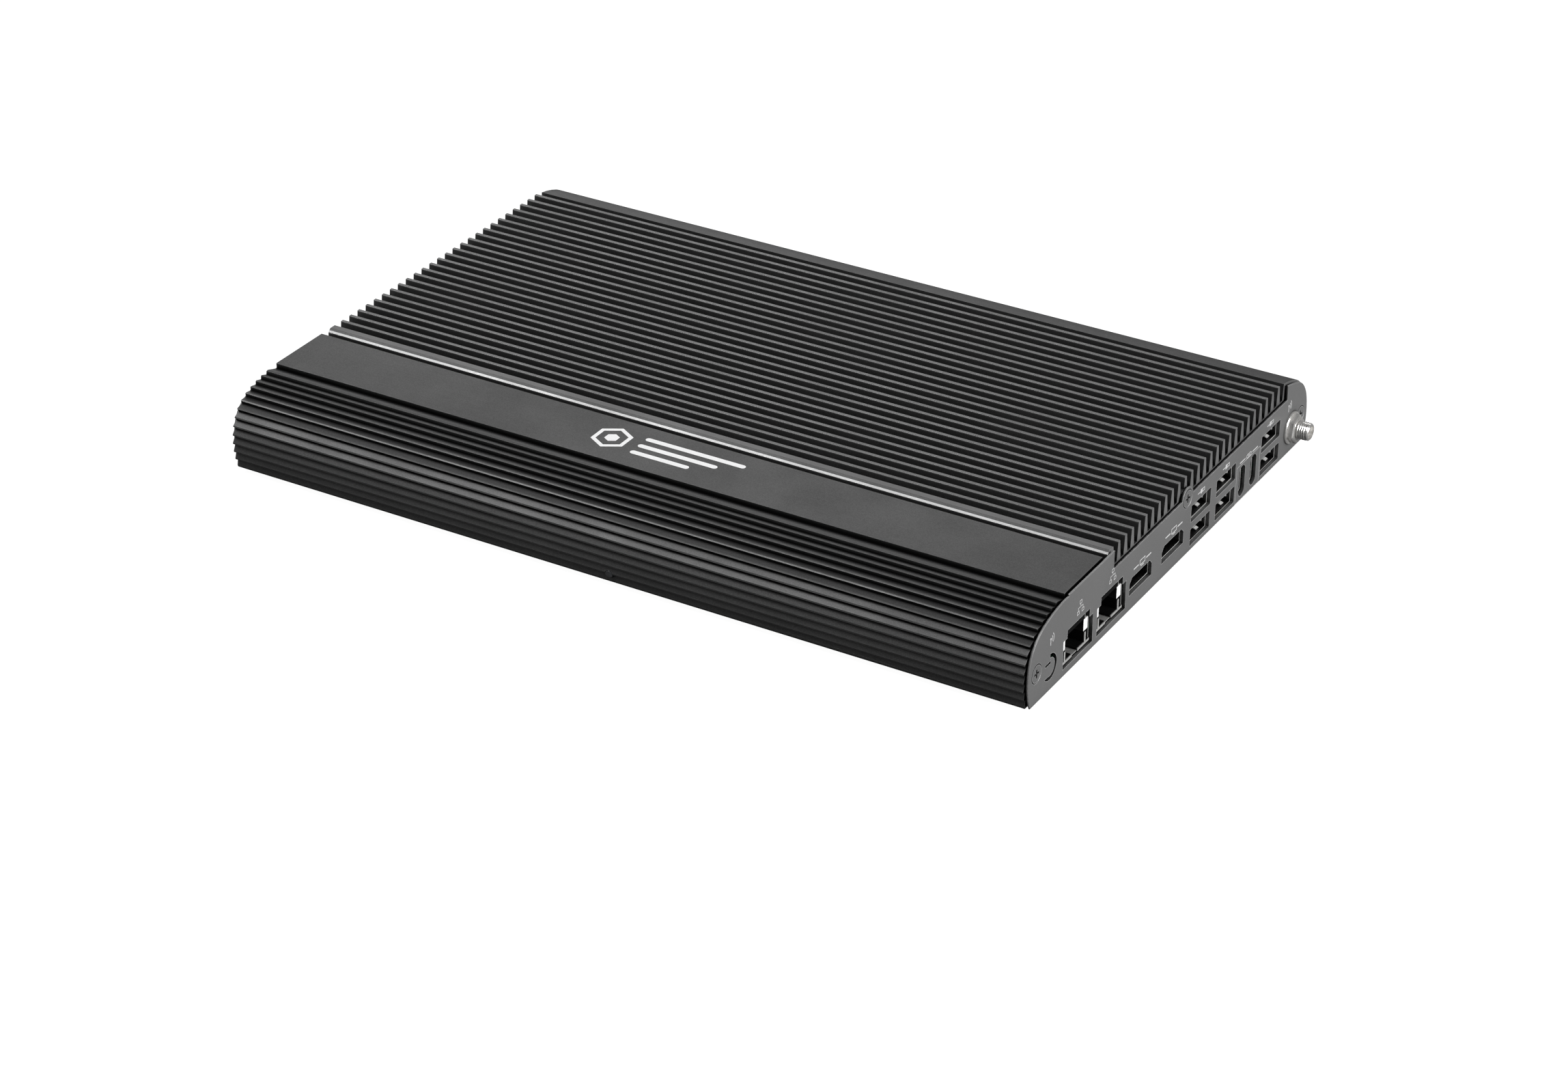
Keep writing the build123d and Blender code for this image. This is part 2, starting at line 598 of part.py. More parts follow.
HDMI_SHELL, HDMI_ROOM = (14.6, 5.2), (14.0, 4.6)
USB_A_STACK, USB_A_ROOM = 13.1, (12.5, 5.0)
USB_C_SHELL, USB_C_ROOM = (8.94, 3.26), (8.34, 2.66)
EAR = 0.9


def board_ears(y, width):
    """Solder ears of a shell that is sunk into the board's edge."""
    for side in (-1, 1):
        block(CONNECTOR_FRONT - 7.0, y + side * (width / 2 + EAR / 2), BOARD_TOP, 4.0, EAR, 0.4)


def light_spots(y):
    """Middles of the two lights of a network port."""
    return [(y + side * LIGHT_OFFSET, LIGHT_Z) for side in (-1, 1)]


for place, y in RJ45_PLACES.items():
    with BuildPart() as rj45_insert:
        with BuildSketch(Plane.YZ.offset(RJ45_FACE)):
            with Locations((y, RJ45_Z)):
                add(rj45_face(*RJ45_BODY))
        extrude(amount=-(RJ45_DEPTH - 1.0))
        with BuildSketch(Plane.YZ.offset(RJ45_FACE)):
            with Locations(*light_spots(y)):
                Rectangle(*LIGHT_SIZE)
        extrude(amount=-8.0, mode=Mode.SUBTRACT)
        with BuildSketch(Plane.YZ.offset(RJ45_FACE)):
            with Locations((y, MOUTH_BOTTOM)):
                mouth_height = MOUTH_TOP - MOUTH_BOTTOM
                Rectangle(MOUTH_WIDTH, mouth_height, align=(Align.CENTER, Align.MIN))
            with Locations((y, RJ45_BASE)):
                Rectangle(LATCH_WIDTH, 2.0, align=(Align.CENTER, Align.MIN))
        extrude(amount=-MOUTH_DEPTH, mode=Mode.SUBTRACT)
    rj45_insert.part.label = f"rj45_{place}_insert"
    export_step(rj45_insert.part, f"parts/rj45_{place}_insert.step")

    with BuildPart() as rj45_shield:
        with BuildSketch(Plane.YZ.offset(RJ45_FACE)):
            with Locations((y, RJ45_Z)):
                add(rj45_face(*RJ45_SHELL))
                add(rj45_face(*RJ45_BODY), mode=Mode.SUBTRACT)
        extrude(amount=-(RJ45_DEPTH - 1.0))
        with BuildSketch(Plane.YZ.offset(RJ45_FACE - RJ45_DEPTH + 1.0)):
            with Locations((y, RJ45_Z)):
                add(rj45_face(*RJ45_SHELL))
        extrude(amount=-0.25)
        # bright front lips either side of the latch slot, with a spring finger on each
        with BuildSketch(Plane.YZ.offset(RJ45_FACE)):
            for side in (-1, 1):
                with Locations((y + side * (LATCH_WIDTH + RJ45_SHELL[0]) / 4, RJ45_LOW)):
                    lip_width = (RJ45_SHELL[0] - LATCH_WIDTH) / 2
                    Rectangle(lip_width, 0.8, align=(Align.CENTER, Align.MIN))
                with Locations((y + side * 6.2, RJ45_LOW)):
                    Rectangle(0.8, 3.9, align=(Align.CENTER, Align.MIN))
        extrude(amount=RJ45_FRONT - RJ45_FACE)
        board_ears(y, RJ45_SHELL[0])
    rj45_shield.part.label = f"rj45_{place}_shield"
    export_step(rj45_shield.part, f"parts/rj45_{place}_shield.step")

with BuildPart() as rj45_contacts:
    for y in RJ45_PLACES.values():
        for wire in range(8):
            wire_y = y + (wire - 3.5) * 1.02
            block(RJ45_FACE - MOUTH_DEPTH, wire_y, MOUTH_TOP - 1.1, MOUTH_DEPTH - 3.0, 0.45, 0.45)
rj45_contacts.part.label = "rj45_contacts"
export_step(rj45_contacts.part, "parts/rj45_contacts.step")

with BuildPart() as rj45_lights:
    for y in RJ45_PLACES.values():
        with BuildSketch(Plane.YZ.offset(RJ45_FACE)):
            with Locations(*light_spots(y)):
                Rectangle(*LIGHT_SIZE)
        extrude(amount=-8.0)
rj45_lights.part.label = "rj45_lights"
export_step(rj45_lights.part, "parts/rj45_lights.step")

for place, y in HDMI_PLACES.items():
    with BuildPart() as hdmi_shell:
        with BuildSketch(Plane.YZ.offset(CONNECTOR_FRONT)):
            with Locations((y, HDMI_Z)):
                add(hdmi_face(*HDMI_SHELL, HDMI_CHAMFER))
        extrude(amount=-HDMI_DEPTH)
        with BuildSketch(Plane.YZ.offset(CONNECTOR_FRONT)):
            with Locations((y, HDMI_Z)):
                add(hdmi_face(*HDMI_ROOM, HDMI_CHAMFER))
        extrude(amount=-(HDMI_DEPTH - 1.0), mode=Mode.SUBTRACT)
        board_ears(y, HDMI_SHELL[0])
    hdmi_shell.part.label = f"hdmi_{place}_shell"
    export_step(hdmi_shell.part, f"parts/hdmi_{place}_shell.step")

with BuildPart() as hdmi_tongues:
    for y in HDMI_PLACES.values():
        block(CONNECTOR_FRONT - HDMI_DEPTH + 1.0, y, HDMI_Z - 0.6, HDMI_DEPTH - 2.2, 9.8, 1.2)
    chamfer(hdmi_tongues.edges().group_by(Axis.X)[-1].filter_by(Axis.Y), 0.3)
hdmi_tongues.part.label = "hdmi_tongues"
export_step(hdmi_tongues.part, "parts/hdmi_tongues.step")

stack_low = USB_A_LOW_Z - USB_A_HEIGHT / 2 + 0.1
stack_height = USB_A_HIGH_Z - USB_A_LOW_Z + USB_A_HEIGHT - 0.2

for place, y in USB_A_PLACES.items():
    with BuildPart() as usb_a_shell:
        block(CONNECTOR_FRONT - USB_A_DEPTH, y, stack_low, USB_A_DEPTH, USB_A_STACK, stack_height)
        with BuildSketch(Plane.YZ.offset(CONNECTOR_FRONT)):
            with Locations((y, USB_A_LOW_Z), (y, USB_A_HIGH_Z)):
                Rectangle(*USB_A_ROOM)
        extrude(amount=-(USB_A_DEPTH - 1.0), mode=Mode.SUBTRACT)
        board_ears(y, USB_A_STACK)
    usb_a_shell.part.label = f"usb_a_{place}_shell"
    export_step(usb_a_shell.part, f"parts/usb_a_{place}_shell.step")

with BuildPart() as usb_a_tongues:
    for y in USB_A_PLACES.values():
        for z in (USB_A_LOW_Z, USB_A_HIGH_Z):
            block(CONNECTOR_FRONT - USB_A_DEPTH + 1.0, y, z - 0.1, USB_A_DEPTH - 3.4, 11.1, 1.8)
    chamfer(usb_a_tongues.edges().group_by(Axis.X)[-1].filter_by(Axis.Y), 0.4)
usb_a_tongues.part.label = "usb_a_tongues"
export_step(usb_a_tongues.part, "parts/usb_a_tongues.step")

with BuildPart() as usb_c_shells:
    for y in USB_C_PLACES.values():
        with BuildSketch(Plane.YZ.offset(CONNECTOR_FRONT)):
            with Locations((y, USB_C_Z)):
                SlotOverall(*USB_C_SHELL, rotation=90)
        extrude(amount=-USB_C_DEPTH)
        with BuildSketch(Plane.YZ.offset(CONNECTOR_FRONT)):
            with Locations((y, USB_C_Z)):
                SlotOverall(*USB_C_ROOM, rotation=90)
        extrude(amount=-(USB_C_DEPTH - 0.8), mode=Mode.SUBTRACT)
        board_ears(y, USB_C_SHELL[1])
usb_c_shells.part.label = "usb_c_shells"
export_step(usb_c_shells.part, "parts/usb_c_shells.step")

with BuildPart() as usb_c_tongues:
    for y in USB_C_PLACES.values():
        block(CONNECTOR_FRONT - USB_C_DEPTH + 0.8, y, USB_C_Z - 3.35, USB_C_DEPTH - 1.8, 0.7, 6.7)
    chamfer(usb_c_tongues.edges().group_by(Axis.X)[-1].filter_by(Axis.Z), 0.2)
usb_c_tongues.part.label = "usb_c_tongues"
export_step(usb_c_tongues.part, "parts/usb_c_tongues.step")

# ---- mainboard and what it carries ------------------------------------------------------

edge_notches = (
    [(y, RJ45_SHELL[0], RJ45_DEPTH) for y in RJ45_PLACES.values()]
    + [(y, HDMI_SHELL[0], HDMI_DEPTH) for y in HDMI_PLACES.values()]
    + [(y, USB_A_STACK, USB_A_DEPTH) for y in USB_A_PLACES.values()]
    + [(y, USB_C_SHELL[1], USB_C_DEPTH) for y in USB_C_PLACES.values()]
)

with BuildPart() as mainboard:
    with BuildSketch(Plane.XY.offset(BOARD_BOTTOM)):
        with Locations((BOARD_LEFT, 0)):
            Rectangle(BOARD_LENGTH, 2 * BOARD_HALF_Y, align=(Align.MIN, Align.CENTER))
        for y, width, depth in edge_notches:
            with Locations((CONNECTOR_FRONT - depth - 0.3, y)):
                Rectangle(depth + 2.0, width + 0.4, align=(Align.MIN, Align.CENTER), mode=Mode.SUBTRACT)
    extrude(amount=BOARD_THICKNESS)
    with Locations(Plane.XY.offset(BOARD_TOP)):
        with Locations(*STANDOFF_SPOTS):
            Hole(M3_PASS)
mainboard.part.label = "mainboard"
export_step(mainboard.part, "parts/mainboard.step")

with BuildPart() as standoffs:
    with BuildSketch(Plane.XY.offset(BOARD_TOP)):
        with Locations(*STANDOFF_SPOTS, *LEFT_STANDOFF_SPOTS):
            RegularPolygon(2.75, 6, major_radius=False)
    extrude(amount=CEILING - BOARD_TOP)
    with BuildSketch(Plane.XY.offset(CEILING)):
        with Locations(*STANDOFF_SPOTS, *LEFT_STANDOFF_SPOTS):
            Circle(M3_CORE)
    extrude(amount=STUD_DEPTH - 0.4)
    with Locations(Plane.XY.offset(BOARD_TOP).rotated((180, 0, 0))):
        with Locations(*[(x, -y) for x, y in (*STANDOFF_SPOTS, *LEFT_STANDOFF_SPOTS)]):
            Hole(M3_TAP, depth=6.0)
standoffs.part.label = "standoffs"
export_step(standoffs.part, "parts/standoffs.step")

SUBSTRATE, DIE, PAD = 1.0, 0.7, 0.4

with BuildPart() as processor:
    block(SOC_X - 23.0, SOC_Y, BOARD_TOP, 46.0, 26.0, SUBSTRATE)
    block(SOC_X - 15.0, SOC_Y, BOARD_TOP + SUBSTRATE, 19.0, 12.0, DIE)
    block(SOC_X + 7.0, SOC_Y, BOARD_TOP + SUBSTRATE, 9.0, 10.0, DIE)
processor.part.label = "processor"
export_step(processor.part, "parts/processor.step")

with BuildPart() as thermal_pad:
    block(SOC_X - 18.0, SOC_Y, BOARD_TOP + SUBSTRATE + DIE, 36.0, 18.0, PAD)
thermal_pad.part.label = "thermal_pad"
export_step(thermal_pad.part, "parts/thermal_pad.step")

BLOCK_FOOT = BOARD_TOP + SUBSTRATE + DIE + PAD

with BuildPart() as heat_block:
    block(SOC_X - 19.0, SOC_Y, BLOCK_FOOT, 38.0, 20.0, 3.0)
    block(SOC_X - 30.0, SOC_Y, BLOCK_FOOT + 2.5, 60.0, 48.0, CEILING - BLOCK_FOOT - 2.5)
    chamfer(heat_block.edges().filter_by(Axis.Z).group_by(Axis.X)[0], 2.0)
    chamfer(heat_block.edges().filter_by(Axis.Z).group_by(Axis.X)[-1], 2.0)
    with Locations(Plane.XY.offset(BLOCK_FOOT + 2.5).rotated((180, 0, 0))):
        with Locations((SOC_X, -SOC_Y)):
            with GridLocations(*BLOCK_SCREWS, 2, 2):
                CounterSinkHole(M3_PASS, M3_HEAD + 0.1, counter_sink_angle=90)
heat_block.part.label = "heat_block"
export_step(heat_block.part, "parts/heat_block.step")

with BuildPart() as heat_block_screws:
    with Locations(Plane.XY.offset(BLOCK_FOOT + 2.5).rotated((180, 0, 0))):
        with Locations((SOC_X, -SOC_Y)):
            with GridLocations(*BLOCK_SCREWS, 2, 2):
                add(machine_screw(M3_HEAD, M3_CORE, CEILING - BLOCK_FOOT - 0.8, 0.8))
heat_block_screws.part.label = "heat_block_screws"
export_step(heat_block_screws.part, "parts/heat_block_screws.step")

MODULE_Z = BOARD_TOP + 2.4

with BuildPart() as memory_sockets:
    for y in MEMORY_PLACES:
        block(BOARD_LEFT + 12.0, y, BOARD_TOP, 7.0, 69.6, 4.6)
        with Locations((BOARD_LEFT + 15.0, y, MODULE_Z)):
            Box(4.5, 67.8, 1.3, align=(Align.MIN, Align.CENTER, Align.MIN), mode=Mode.SUBTRACT)
        for side in (-1, 1):
            block(BOARD_LEFT + 18.0, y + side * 34.4, BOARD_TOP, 26.0, 0.8, 4.6)
memory_sockets.part.label = "memory_sockets"
export_step(memory_sockets.part, "parts/memory_sockets.step")

with BuildPart() as memory_modules:
    for y in MEMORY_PLACES:
        block(BOARD_LEFT + 15.0, y, MODULE_Z, 30.0, 67.4, 1.2)
        with Locations((BOARD_LEFT + 34.0, y, MODULE_Z + 1.2)):
            with GridLocations(0, 15.5, 1, 4):
                Box(11.0, 9.5, 1.0, align=(Align.CENTER, Align.CENTER, Align.MIN))
memory_modules.part.label = "memory_modules"
export_step(memory_modules.part, "parts/memory_modules.step")

CARD_Z = BOARD_TOP + 2.2
SSD_X, SSD_Y = 17.0, 33.0
WIFI_X, WIFI_Y = 62.0, 58.0

with BuildPart() as card_sockets:
    for x, y in ((SSD_X, SSD_Y), (WIFI_X, WIFI_Y)):
        block(x - 5.0, y, BOARD_TOP, 7.5, 22.4, 3.6)
        with Locations((x, y, CARD_Z)):
            Box(4.0, 22.4, 0.8, align=(Align.MIN, Align.CENTER, Align.MIN), mode=Mode.SUBTRACT)
card_sockets.part.label = "card_sockets"
export_step(card_sockets.part, "parts/card_sockets.step")

with BuildPart() as storage_card:
    block(SSD_X, SSD_Y, CARD_Z, 80.0, 22.0, 0.8)
    for start_x, length in ((8.0, 12.0), (25.0, 18.0), (48.0, 18.0)):
        block(SSD_X + start_x, SSD_Y, CARD_Z + 0.8, length, 14.0, 1.2)
    with Locations(Plane.XY.offset(CARD_Z + 0.8)):
        with Locations((SSD_X + 80.0, SSD_Y)):
            Hole(1.75)
storage_card.part.label = "storage_card"
export_step(storage_card.part, "parts/storage_card.step")

with BuildPart() as wifi_card:
    block(WIFI_X, WIFI_Y, CARD_Z, 30.0, 22.0, 0.8)
    block(WIFI_X + 8.0, WIFI_Y, CARD_Z + 0.8, 14.0, 16.0, 1.4)
    with Locations((WIFI_X + 25.5, WIFI_Y + 6.0, CARD_Z + 0.8)):
        Cylinder(1.0, 0.9, align=(Align.CENTER, Align.CENTER, Align.MIN))
    with Locations(Plane.XY.offset(CARD_Z + 0.8)):
        with Locations((WIFI_X + 30.0, WIFI_Y)):
            Hole(1.75)
wifi_card.part.label = "wifi_card"
export_step(wifi_card.part, "parts/wifi_card.step")

with BuildPart() as card_posts:
    for x, y in ((SSD_X + 80.0, SSD_Y), (WIFI_X + 30.0, WIFI_Y)):
        with BuildSketch(Plane.XY.offset(BOARD_TOP)):
            with Locations((x, y)):
                Circle(2.3)
        extrude(amount=CARD_Z - BOARD_TOP)
        with BuildSketch(Plane.XY.offset(CARD_Z)):
            with Locations((x, y)):
                Circle(1.6)
        extrude(amount=0.8)
        with BuildSketch(Plane.XY.offset(CARD_Z + 0.8)):
            with Locations((x, y)):
                Circle(2.6)
                Rectangle(3.4, 0.6, mode=Mode.SUBTRACT)
        extrude(amount=0.9)
card_posts.part.label = "card_posts"
export_step(card_posts.part, "parts/card_posts.step")

CELL_X, CELL_Y = 88.0, -48.0

with BuildPart() as cell_holder:
    with BuildSketch(Plane.XY.offset(BOARD_TOP)):
        with Locations((CELL_X, CELL_Y)):
            RectangleRounded(23.0, 23.0, 4.0)
    extrude(amount=4.4)
    with BuildSketch(Plane.XY.offset(BOARD_TOP + 1.2)):
        with Locations((CELL_X, CELL_Y)):
            Circle(10.15)
    extrude(amount=3.2, mode=Mode.SUBTRACT)
cell_holder.part.label = "cell_holder"
export_step(cell_holder.part, "parts/cell_holder.step")

with BuildPart() as coin_cell:
    with BuildSketch(Plane.XY.offset(BOARD_TOP + 1.2)):
        with Locations((CELL_X, CELL_Y)):
            Circle(10.0)
    extrude(amount=3.2)
    fillet(coin_cell.edges().group_by(Axis.Z)[-1], 0.5)
coin_cell.part.label = "coin_cell"
export_step(coin_cell.part, "parts/coin_cell.step")

with BuildPart() as capacitors:
    with Locations((44.0, -50.0, BOARD_TOP)):
        with GridLocations(10.0, 12.0, 6, 2):
            Cylinder(3.15, 6.6, align=(Align.CENTER, Align.CENTER, Align.MIN))
    fillet(capacitors.edges().group_by(Axis.Z)[-1], 0.4)
capacitors.part.label = "capacitors"
export_step(capacitors.part, "parts/capacitors.step")

# antenna lead: from the back of the socket to the radio card
LEAD_RADIUS = 0.65
LEAD_Z = 14.0
PLUG_X, PLUG_Y = WIFI_X + 25.5, WIFI_Y + 6.0
lead_route = [
    (RIGHT_SEAT - 9.0, ANTENNA_Y, ANTENNA_Z),
    (RIGHT_SEAT - 20.0, ANTENNA_Y, ANTENNA_Z),
    (RIGHT_SEAT - 32.0, 76.0, LEAD_Z),
    (PLUG_X, PLUG_Y, LEAD_Z),
]

with BuildPart() as antenna_lead:
    with BuildLine() as lead_path:
        FilletPolyline(*lead_route, radius=14.0)
    with BuildSketch(Plane(origin=lead_path.line @ 0, z_dir=lead_path.line % 0)):
        Circle(LEAD_RADIUS)
    sweep()
    with Locations((PLUG_X, PLUG_Y, CARD_Z + 1.7)):
        Cylinder(1.3, LEAD_Z + 0.7 - CARD_Z - 1.7, align=(Align.CENTER, Align.CENTER, Align.MIN))
antenna_lead.part.label = "antenna_lead"
export_step(antenna_lead.part, "parts/antenna_lead.step")

# ---- drive bay --------------------------------------------------------------------------

with BuildPart() as drive:
    with BuildSketch(Plane.XY.offset(DRIVE_BOTTOM)):
        with Locations((DRIVE_X, DRIVE_Y)):
            RectangleRounded(DRIVE_SIZE[0], DRIVE_SIZE[1], 1.5)
    extrude(amount=DRIVE_SIZE[2])
    with Locations(Plane.XY.offset(DRIVE_BOTTOM).rotated((180, 0, 0))):
        with Locations((DRIVE_X, -DRIVE_Y)):
            with GridLocations(*DRIVE_SCREWS, 2, 2):
                Hole(M3_TAP, depth=3.5)
drive.part.label = "drive"
export_step(drive.part, "parts/drive.step")

with BuildPart() as drive_tray:
    wall = CEILING - DRIVE_BOTTOM + TRAY
    with Locations((DRIVE_X, DRIVE_Y, DRIVE_BOTTOM)):
        Box(DRIVE_SIZE[0], 2 * (TRAY_HALF + TRAY), TRAY, align=(Align.CENTER, Align.CENTER, Align.MAX))
    for side in (-1, 1):
        with Locations((DRIVE_X, DRIVE_Y + side * (TRAY_HALF + TRAY / 2), DRIVE_BOTTOM - TRAY)):
            Box(DRIVE_SIZE[0], TRAY, wall, align=(Align.CENTER, Align.CENTER, Align.MIN))
        with Locations((DRIVE_X, DRIVE_Y + side * (TRAY_HALF + TRAY_EAR / 2), CEILING)):
            Box(DRIVE_SIZE[0] - 20.0, TRAY_EAR, TRAY, align=(Align.CENTER, Align.CENTER, Align.MAX))
    with Locations(Plane.XY.offset(DRIVE_BOTTOM - TRAY).rotated((180, 0, 0))):
        with Locations((DRIVE_X, -DRIVE_Y)):
            with GridLocations(*DRIVE_SCREWS, 2, 2):
                Hole(M3_PASS, depth=TRAY)
    with Locations(Plane.XY.offset(CEILING)):
        with Locations((DRIVE_X, DRIVE_Y)):
            with GridLocations(*TRAY_FIXINGS, 2, 2):
                Hole(M3_PASS, depth=TRAY)
drive_tray.part.label = "drive_tray"
export_step(drive_tray.part, "parts/drive_tray.step")

with BuildPart() as pan_screws:
    with Locations(Plane.XY.offset(BOARD_BOTTOM)):
        with Locations(*STANDOFF_SPOTS, *LEFT_STANDOFF_SPOTS):
            add(pan_screw(2.7, 1.6, M3_CORE, 5.0, 0.7))
    with Locations((DRIVE_X, DRIVE_Y)):
        with GridLocations(*DRIVE_SCREWS, 2, 2):
            with Locations((0, 0, DRIVE_BOTTOM - TRAY)):
                add(pan_screw(2.7, 1.6, M3_CORE, 3.8, 0.7))
        with GridLocations(*TRAY_FIXINGS, 2, 2):
            with Locations((0, 0, CEILING - TRAY)):
                add(pan_screw(2.7, 1.6, M3_CORE, TRAY + 1.9, 0.7))
pan_screws.part.label = "pan_screws"
export_step(pan_screws.part, "parts/pan_screws.step")

with BuildPart() as drive_cable:
    with BuildSketch(Plane.XZ.offset(-DRIVE_Y - 8.0)):
        with BuildLine():
            Polyline(
                (DRIVE_X + DRIVE_SIZE[0] / 2, 12.4),
                (-44.0, 12.4),
                (-40.0, 10.2),
                (BOARD_LEFT + 3.0, 10.2),
                (BOARD_LEFT + 3.0, 11.0),
                (-40.0, 11.0),
                (-44.0, 13.2),
                (DRIVE_X + DRIVE_SIZE[0] / 2, 13.2),
                close=True,
            )
        make_face()
    extrude(amount=16.0)
drive_cable.part.label = "drive_cable"
export_step(drive_cable.part, "parts/drive_cable.step")

LEFT_BOARD_END = LEFT_BOARD_START + LEFT_BOARD_DEPTH
RIBBON_Y, RIBBON_WIDTH = -55.0, 16.0

with BuildPart() as cable_headers:
    block(BOARD_LEFT + 3.0, DRIVE_Y, BOARD_TOP, 7.0, 18.0, 4.2)
    block(BOARD_LEFT + 3.0, RIBBON_Y, BOARD_TOP, 4.0, RIBBON_WIDTH + 1.6, 2.6)
    block(LEFT_BOARD_END - 6.0, RIBBON_Y, BOARD_TOP, 4.0, RIBBON_WIDTH + 1.6, 2.6)
cable_headers.part.label = "cable_headers"
export_step(cable_headers.part, "parts/cable_headers.step")

# ---- left-hand board with the power inlet, the audio jack and the power button -----------

with BuildPart() as left_board:
    with BuildSketch(Plane.XY.offset(BOARD_BOTTOM)):
        with Locations((LEFT_BOARD_START, (LEFT_BOARD_FRONT + LEFT_BOARD_BACK) / 2)):
            Rectangle(LEFT_BOARD_DEPTH, LEFT_BOARD_BACK - LEFT_BOARD_FRONT, align=(Align.MIN, Align.CENTER))
        with Locations((LEFT_BOARD_START, BUTTON_Y)):
            Rectangle(2.2, 13.0, align=(Align.MIN, Align.CENTER), mode=Mode.SUBTRACT)
    extrude(amount=BOARD_THICKNESS)
    with Locations(Plane.XY.offset(BOARD_TOP)):
        with Locations(*LEFT_STANDOFF_SPOTS):
            Hole(M3_PASS)
left_board.part.label = "left_board"
export_step(left_board.part, "parts/left_board.step")

with BuildPart() as io_ribbon:
    ribbon_length = BOARD_LEFT + 3.0 - LEFT_BOARD_END + 2.0
    block(LEFT_BOARD_END - 2.0, RIBBON_Y, BOARD_TOP + 1.2, ribbon_length, RIBBON_WIDTH, 0.4)
io_ribbon.part.label = "io_ribbon"
export_step(io_ribbon.part, "parts/io_ribbon.step")

with BuildPart() as dc_jack:
    block(LEFT_SEAT + 0.2, DC_Y, BOARD_TOP, 12.5, 9.4, 7.4)
    with BuildSketch(Plane.YZ.offset(LEFT_FACE + 0.1)):
        with Locations((DC_Y, DC_Z)):
            Circle(DC_NOSE)
    extrude(amount=PANEL + 0.2)
    with BuildSketch(Plane.YZ.offset(LEFT_FACE + 0.1)):
        with Locations((DC_Y, DC_Z)):
            Circle(2.85)
    extrude(amount=10.5, mode=Mode.SUBTRACT)
dc_jack.part.label = "dc_jack"
export_step(dc_jack.part, "parts/dc_jack.step")

with BuildPart() as dc_pin:
    with BuildSketch(Plane.YZ.offset(LEFT_FACE + 1.6)):
        with Locations((DC_Y, DC_Z)):
            Circle(1.05)
    extrude(amount=9.0)
    fillet(dc_pin.edges().sort_by(Axis.X)[0], 0.6)
dc_pin.part.label = "dc_pin"
export_step(dc_pin.part, "parts/dc_pin.step")

with BuildPart() as audio_jack:
    block(LEFT_SEAT + 0.2, AUDIO_Y, BOARD_TOP, 12.5, 7.0, 6.4)
    with BuildSketch(Plane.YZ.offset(LEFT_FACE + 0.1)):
        with Locations((AUDIO_Y, AUDIO_Z)):
            Circle(AUDIO_NOSE)
    extrude(amount=PANEL + 0.2)
    with BuildSketch(Plane.YZ.offset(LEFT_FACE + 0.1)):
        with Locations((AUDIO_Y, AUDIO_Z)):
            Circle(1.8)
    extrude(amount=12.0, mode=Mode.SUBTRACT)
audio_jack.part.label = "audio_jack"
export_step(audio_jack.part, "parts/audio_jack.step")

# The power button slides in its light ring: a flange behind the ring keeps it in, and its
# stem presses the plunger of the switch on the board.
RING_BACK = 1.0  # ring collar behind the panel
FLANGE = 0.8
FLANGE_X = LEFT_SEAT + RING_BACK + 0.05
PLUNGER_X = FLANGE_X + FLANGE + 1.4
SWITCH_X = PLUNGER_X + 1.8

with BuildPart() as button_ring:
    with BuildSketch(Plane.YZ.offset(LEFT_FACE - 0.25)):
        with Locations((BUTTON_Y, BUTTON_Z)):
            Circle(RING_RADIUS - 0.05)
    extrude(amount=PANEL + 0.25)
    fillet(button_ring.edges().filter_by(GeomType.CIRCLE).sort_by(Axis.X)[0], 0.2)
    with BuildSketch(Plane.YZ.offset(LEFT_SEAT)):
        with Locations((BUTTON_Y, BUTTON_Z)):
            Circle(RING_RADIUS + 1.1)
    extrude(amount=RING_BACK)
    with BuildSketch(Plane.YZ.offset(LEFT_FACE - 0.25)):
        with Locations((BUTTON_Y, BUTTON_Z)):
            Circle(BUTTON_RADIUS + BUTTON_CLEARANCE)
    extrude(amount=PANEL + RING_BACK + 0.25, mode=Mode.SUBTRACT)
button_ring.part.label = "button_ring"
export_step(button_ring.part, "parts/button_ring.step")

with BuildPart() as power_button:
    with BuildSketch(Plane.YZ.offset(LEFT_FACE - BUTTON_REACH)):
        with Locations((BUTTON_Y, BUTTON_Z)):
            Circle(BUTTON_RADIUS)
    extrude(amount=FLANGE_X - LEFT_FACE + BUTTON_REACH)
    fillet(power_button.edges().filter_by(GeomType.CIRCLE).sort_by(Axis.X)[0], 0.35)
    with BuildSketch(Plane.YZ.offset(FLANGE_X)):
        with Locations((BUTTON_Y, BUTTON_Z)):
            Circle(BUTTON_FLANGE)
    extrude(amount=FLANGE)
    with BuildSketch(Plane.YZ.offset(FLANGE_X + FLANGE)):
        with Locations((BUTTON_Y, BUTTON_Z)):
            Circle(2.0)
    extrude(amount=PLUNGER_X - FLANGE_X - FLANGE)
power_button.part.label = "power_button"
export_step(power_button.part, "parts/power_button.step")

with BuildPart() as switch_plunger:
    with BuildSketch(Plane.YZ.offset(PLUNGER_X)):
        with Locations((BUTTON_Y, BUTTON_Z)):
            Circle(1.7)
    extrude(amount=3.0)
switch_plunger.part.label = "switch_plunger"
export_step(switch_plunger.part, "parts/switch_plunger.step")

with BuildPart() as power_switch:
    block(SWITCH_X, BUTTON_Y, BOARD_TOP, 4.5, 7.0, 6.6)
    with BuildSketch(Plane.YZ.offset(SWITCH_X)):
        with Locations((BUTTON_Y, BUTTON_Z)):
            Circle(2.05)
    extrude(amount=3.2, mode=Mode.SUBTRACT)
power_switch.part.label = "power_switch"
export_step(power_switch.part, "parts/power_switch.step")
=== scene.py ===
"""Finishes, printed signs and small fittings of a flat fanless mini PC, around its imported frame."""

import json
import math

import bmesh
import bpy
from mathutils import Matrix, Vector


